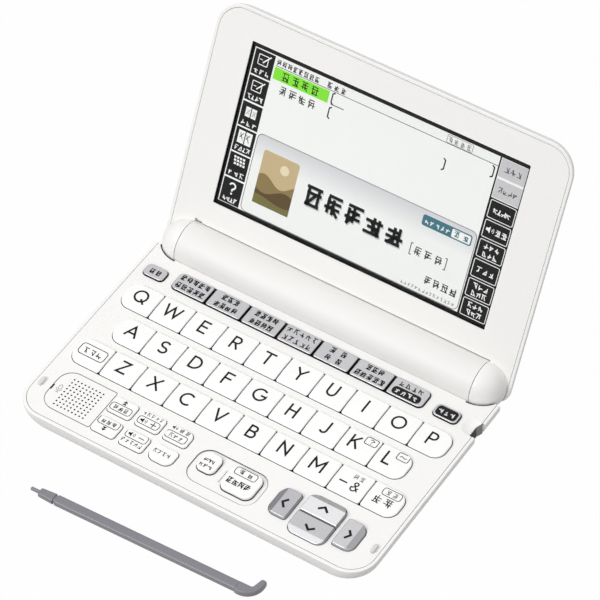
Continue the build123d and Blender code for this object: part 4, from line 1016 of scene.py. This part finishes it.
# %% Signs on the soft keys
marks = []
for i, (top, low) in enumerate(RIGHT_CELLS):
    marks += box_line(46.7, low, 56.9, top, 0.5, 0.28)
    two_lines = i in (2, 4, 5)
    if two_lines:
        marks += mock_line(60 + i, 48.6, 55.0, low + 3.6, 3, 2.1, 0.34, dense=False)
        marks += mock_line(70 + i, 48.6, 55.0, low + 0.7, 3, 2.1, 0.34, dense=False)
    elif i == 1:
        marks += speaker_sign(47.7, low + 2.0, 2.6)
        marks += mock_line(61, 51.4, 56.2, low + 2.0, 2, 2.3, 0.34)
    else:
        marks += mock_line(60 + i, 48.2, 55.4, low + 2.1, 3 + (i == 0), 2.2, 0.36, dense=False)
for i, (top, low) in enumerate(LEFT_CELLS):
    count = 4 if i in (1, 3, 5) else 3
    marks += mock_line(80 + i, -55.7, -48.9, low + 0.7, count, 1.9, 0.32, dense=False)
# A page with a pencil, twice.
for top in (LEFT_CELLS[0][0], LEFT_CELLS[1][0]):
    marks += box_line(-54.6, top - 5.4, -50.6, top - 1.6, 0.3, 0.34)
    marks += ribbon([(-52.6, top - 4.4), (-49.6, top - 1.2)], 0.5)
    marks += ribbon([(-54.0, top - 3.4), (-52.8, top - 3.4)], 0.3)
# Pairs of signs, small and large.
marks += block(-54.6, 54.8, -52.5, 58.6) + block(-52.1, 54.8, -50.0, 58.6)
marks += block(-55.2, 44.2, -52.5, 49.2) + block(-52.1, 44.2, -49.4, 49.2)
# A keyboard.
for row in range(3):
    for column in range(4):
        x, y = -54.6 + column * 1.25 + row * 0.2, 38.2 - row * 1.25
        marks += block(x, y, x + 0.9, y + 0.85)
# A question mark.
marks += ribbon([*arc(-52.3, 27.3, 1.2, 1.1, 170, -40, 10), (-52.2, 25.9), (-52.2, 25.2)], 0.66)
marks += block(-52.55, 24.0, -51.85, 24.7)
show("keys_marks", marks, lit_white, 3)
ink += mock_line(91, 48.2, 55.4, 76.6, 3, 2.3, 0.26, dense=False)
ink += mock_line(92, 47.9, 55.9, 68.7, 4, 2.1, 0.26, dense=False)
for x in (-54.2, -51.6):
    ink += ribbon([(x, 55.6), (x + 1.3, 57.8)], 0.26)
    ink += ribbon([(x - 0.2, 46.4), (x + 1.2, 48.4)], 0.34)
    ink += ribbon([(x, 57.6), (x + 1.2, 55.8)], 0.26)
    ink += ribbon([(x - 0.2, 48.2), (x + 1.2, 45.4)], 0.34)
print("side keys", len(marks), "faces")

# %% Title line, search list and brackets
ink += mock_line(93, -47.2, -29.0, 78.2, 8, 2.1, 0.28)
ink += mock_line(94, -25.8, -17.6, 78.2, 3, 2.3, 0.28)
ink += ribbon([(-47.3, 77.75), (45.7, 77.75)], 0.22)
ink += ribbon([(-22.6, 72.9), (-17.0, 72.9)], 0.3)
for x, low, way in ((-22.6, 72.9, 1), (-22.6, 67.4, 1), (26.0, 67.5, -1), (44.6, 72.7, -1)):
    tip = x + 0.9 * way
    ink += ribbon([(tip, low), (x, low + 0.6), (x, low + 3.9), (tip, low + 4.5)], 0.5)
ink += mock_line(95, -43.8, -28.2, 73.3, 4, 3.3, 0.34)
ink += mock_line(96, -43.8, -28.2, 68.0, 4, 3.4, 0.34)
show("search_highlight", block(-47.4, 72.7, -24.0, 77.3), lit_green, 2)
grey_marks = mock_line(97, 24.7, 34.5, 78.3, 4, 2.2, 0.22)
grey_marks += box_line(24.4, 78.0, 34.8, 81.0, 0.3, 0.2)
show("status_marks", grey_marks, lit_line, 3)
print("ink so far", len(ink), "faces")

# %% [markdown]
# ## The title card
# The lower part of the page is a card with rounded corners and a grey edge. It is shaded from light
# grey at its top to white, which a gradient along the display's own upward direction gives. On it
# are five heavy signs with a soft shadow, a teal badge, and a picture of hills under a pale sky.

# %% Title card
CARD_SHADE_LOW, CARD_SHADE_HIGH = 41.0, 51.0
card, tree, shader, place = new_material("lit_card_shade", "#F4F6F4", 0.35)
height = node(tree, "SeparateXYZ", {}, {0: place})
page_level = on_lid(PAGE_DEPTH)
card_z = [page_level(Vector((0, u))).z for u in (CARD_SHADE_LOW, CARD_SHADE_HIGH)]
fade = node(tree, "MapRange", {"From Min": card_z[0], "From Max": card_z[1]},
            {"Value": height.outputs["Z"]})
tone = node(tree, "Mix", {"data_type": "RGBA"}, {0: fade.outputs[0]})
tone.inputs["A"].default_value = linear("#F4F6F4")
tone.inputs["B"].default_value = linear("#D6D7DA")
tree.links.new(tone.outputs["Result"], shader.inputs["Base Color"])
tree.links.new(tone.outputs["Result"], shader.inputs["Emission Color"])
shader.inputs["Emission Strength"].default_value = GLOW

CARD = (-47.3, 20.3, 45.3, 51.2, 2.2)
show("card", block(*CARD), card, 2)
show("card_edge", box_line(*CARD, 0.3), lit_line, 3)

TITLE_X, TITLE_Y, TITLE_PITCH = -24.0, 33.0, 8.6
TITLE_SIZE, TITLE_PEN, TITLE_SEED = 8.0, 1.25, 110
TITLE_SHADOW = Vector((0.45, -0.5))
title, title_shade = [], []
for i in range(5):
    sign = mock_sign(random.Random(TITLE_SEED + i), TITLE_X + i * TITLE_PITCH, TITLE_Y,
                     TITLE_SIZE, TITLE_PEN)
    title += sign
    title_shade += [[Vector(p) + TITLE_SHADOW for p in face] for face in sign]
show("title_shade", title_shade, lit_grey, 3)
show("title", title, lit_black, 4)
ink += mock_line(111, 23.2, 35.2, 33.3, 3, 3.4, 0.36)
ink += ribbon([(22.6, 32.8), (21.8, 32.8), (21.8, 37.2), (22.6, 37.2)], 0.32)
ink += ribbon([(35.9, 32.8), (36.7, 32.8), (36.7, 37.2), (35.9, 37.2)], 0.32)
ink += mock_line(112, 30.0, 43.8, 24.7, 4, 3.1, 0.36)
show("small_print", mock_line(113, 21.3, 43.8, 21.2, 15, 1.3, 0.2, dense=False), lit_line, 3)
show("ink", ink, lit_black, 3)

show("badge", block(23.4, 45.2, 43.8, 49.4, 0.9), lit_teal, 3)
show("badge_end", block(35.6, 45.7, 43.3, 48.9, 0.5), lit_white, 3.4)
show("badge_marks", mock_line(114, 24.4, 35.0, 46.1, 5, 1.9, 0.26, dense=False), lit_white, 3.4)
show("badge_end_marks", mock_line(115, 36.4, 42.6, 46.2, 2, 2.5, 0.3), lit_teal, 3.8)
print("title card with", len(title), "faces in its five signs")

# %% Picture on the card
lit_sky = lit("lit_picture_sky", "#C9B48A")
lit_sun = lit("lit_picture_sun", "#EBDDB8")
lit_far = lit("lit_picture_far_hill", "#8E7A4E")
lit_near = lit("lit_picture_near_hill", "#5C4A2C")
lit_field = lit("lit_picture_field", "#77713F")
PICTURE = (-43.4, 25.2, -28.0, 46.2)


def hill(base, height, wave, shift):
    """The outline of a hill across the picture, from its lower edge."""
    x0, y0, x1, y1 = PICTURE
    steps = 12
    line = [(x0, y0), (x1, y0)]
    for i in range(steps + 1):
        x = x1 + (x0 - x1) * i / steps
        line.append((x, base + height * math.sin(wave * (x - x0) + shift)))
    return [line]


show("picture", block(*PICTURE, 1.0), lit_sky, 3)
show("picture_sun", [arc(-33.5, 41.5, 1.9, 1.9, 0, 342, 19)], lit_sun, 3.4)
show("picture_far_hill", hill(35.5, 1.8, 0.42, 0.6), lit_far, 3.4)
show("picture_near_hill", hill(31.6, 1.6, 0.36, 3.4), lit_near, 3.8)
show("picture_field", hill(28.2, 0.7, 0.3, 1.2), lit_field, 4.2)
print("picture", PICTURE)

# %% [markdown]
# ## The size of the dressed model
# The box round the dressed model is printed. What was added lies inside the model or on it, so
# this box should be as large as the bare one.

# %% Size and finish
low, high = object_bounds()
print("box", [round(v, 5) for v in high - low])
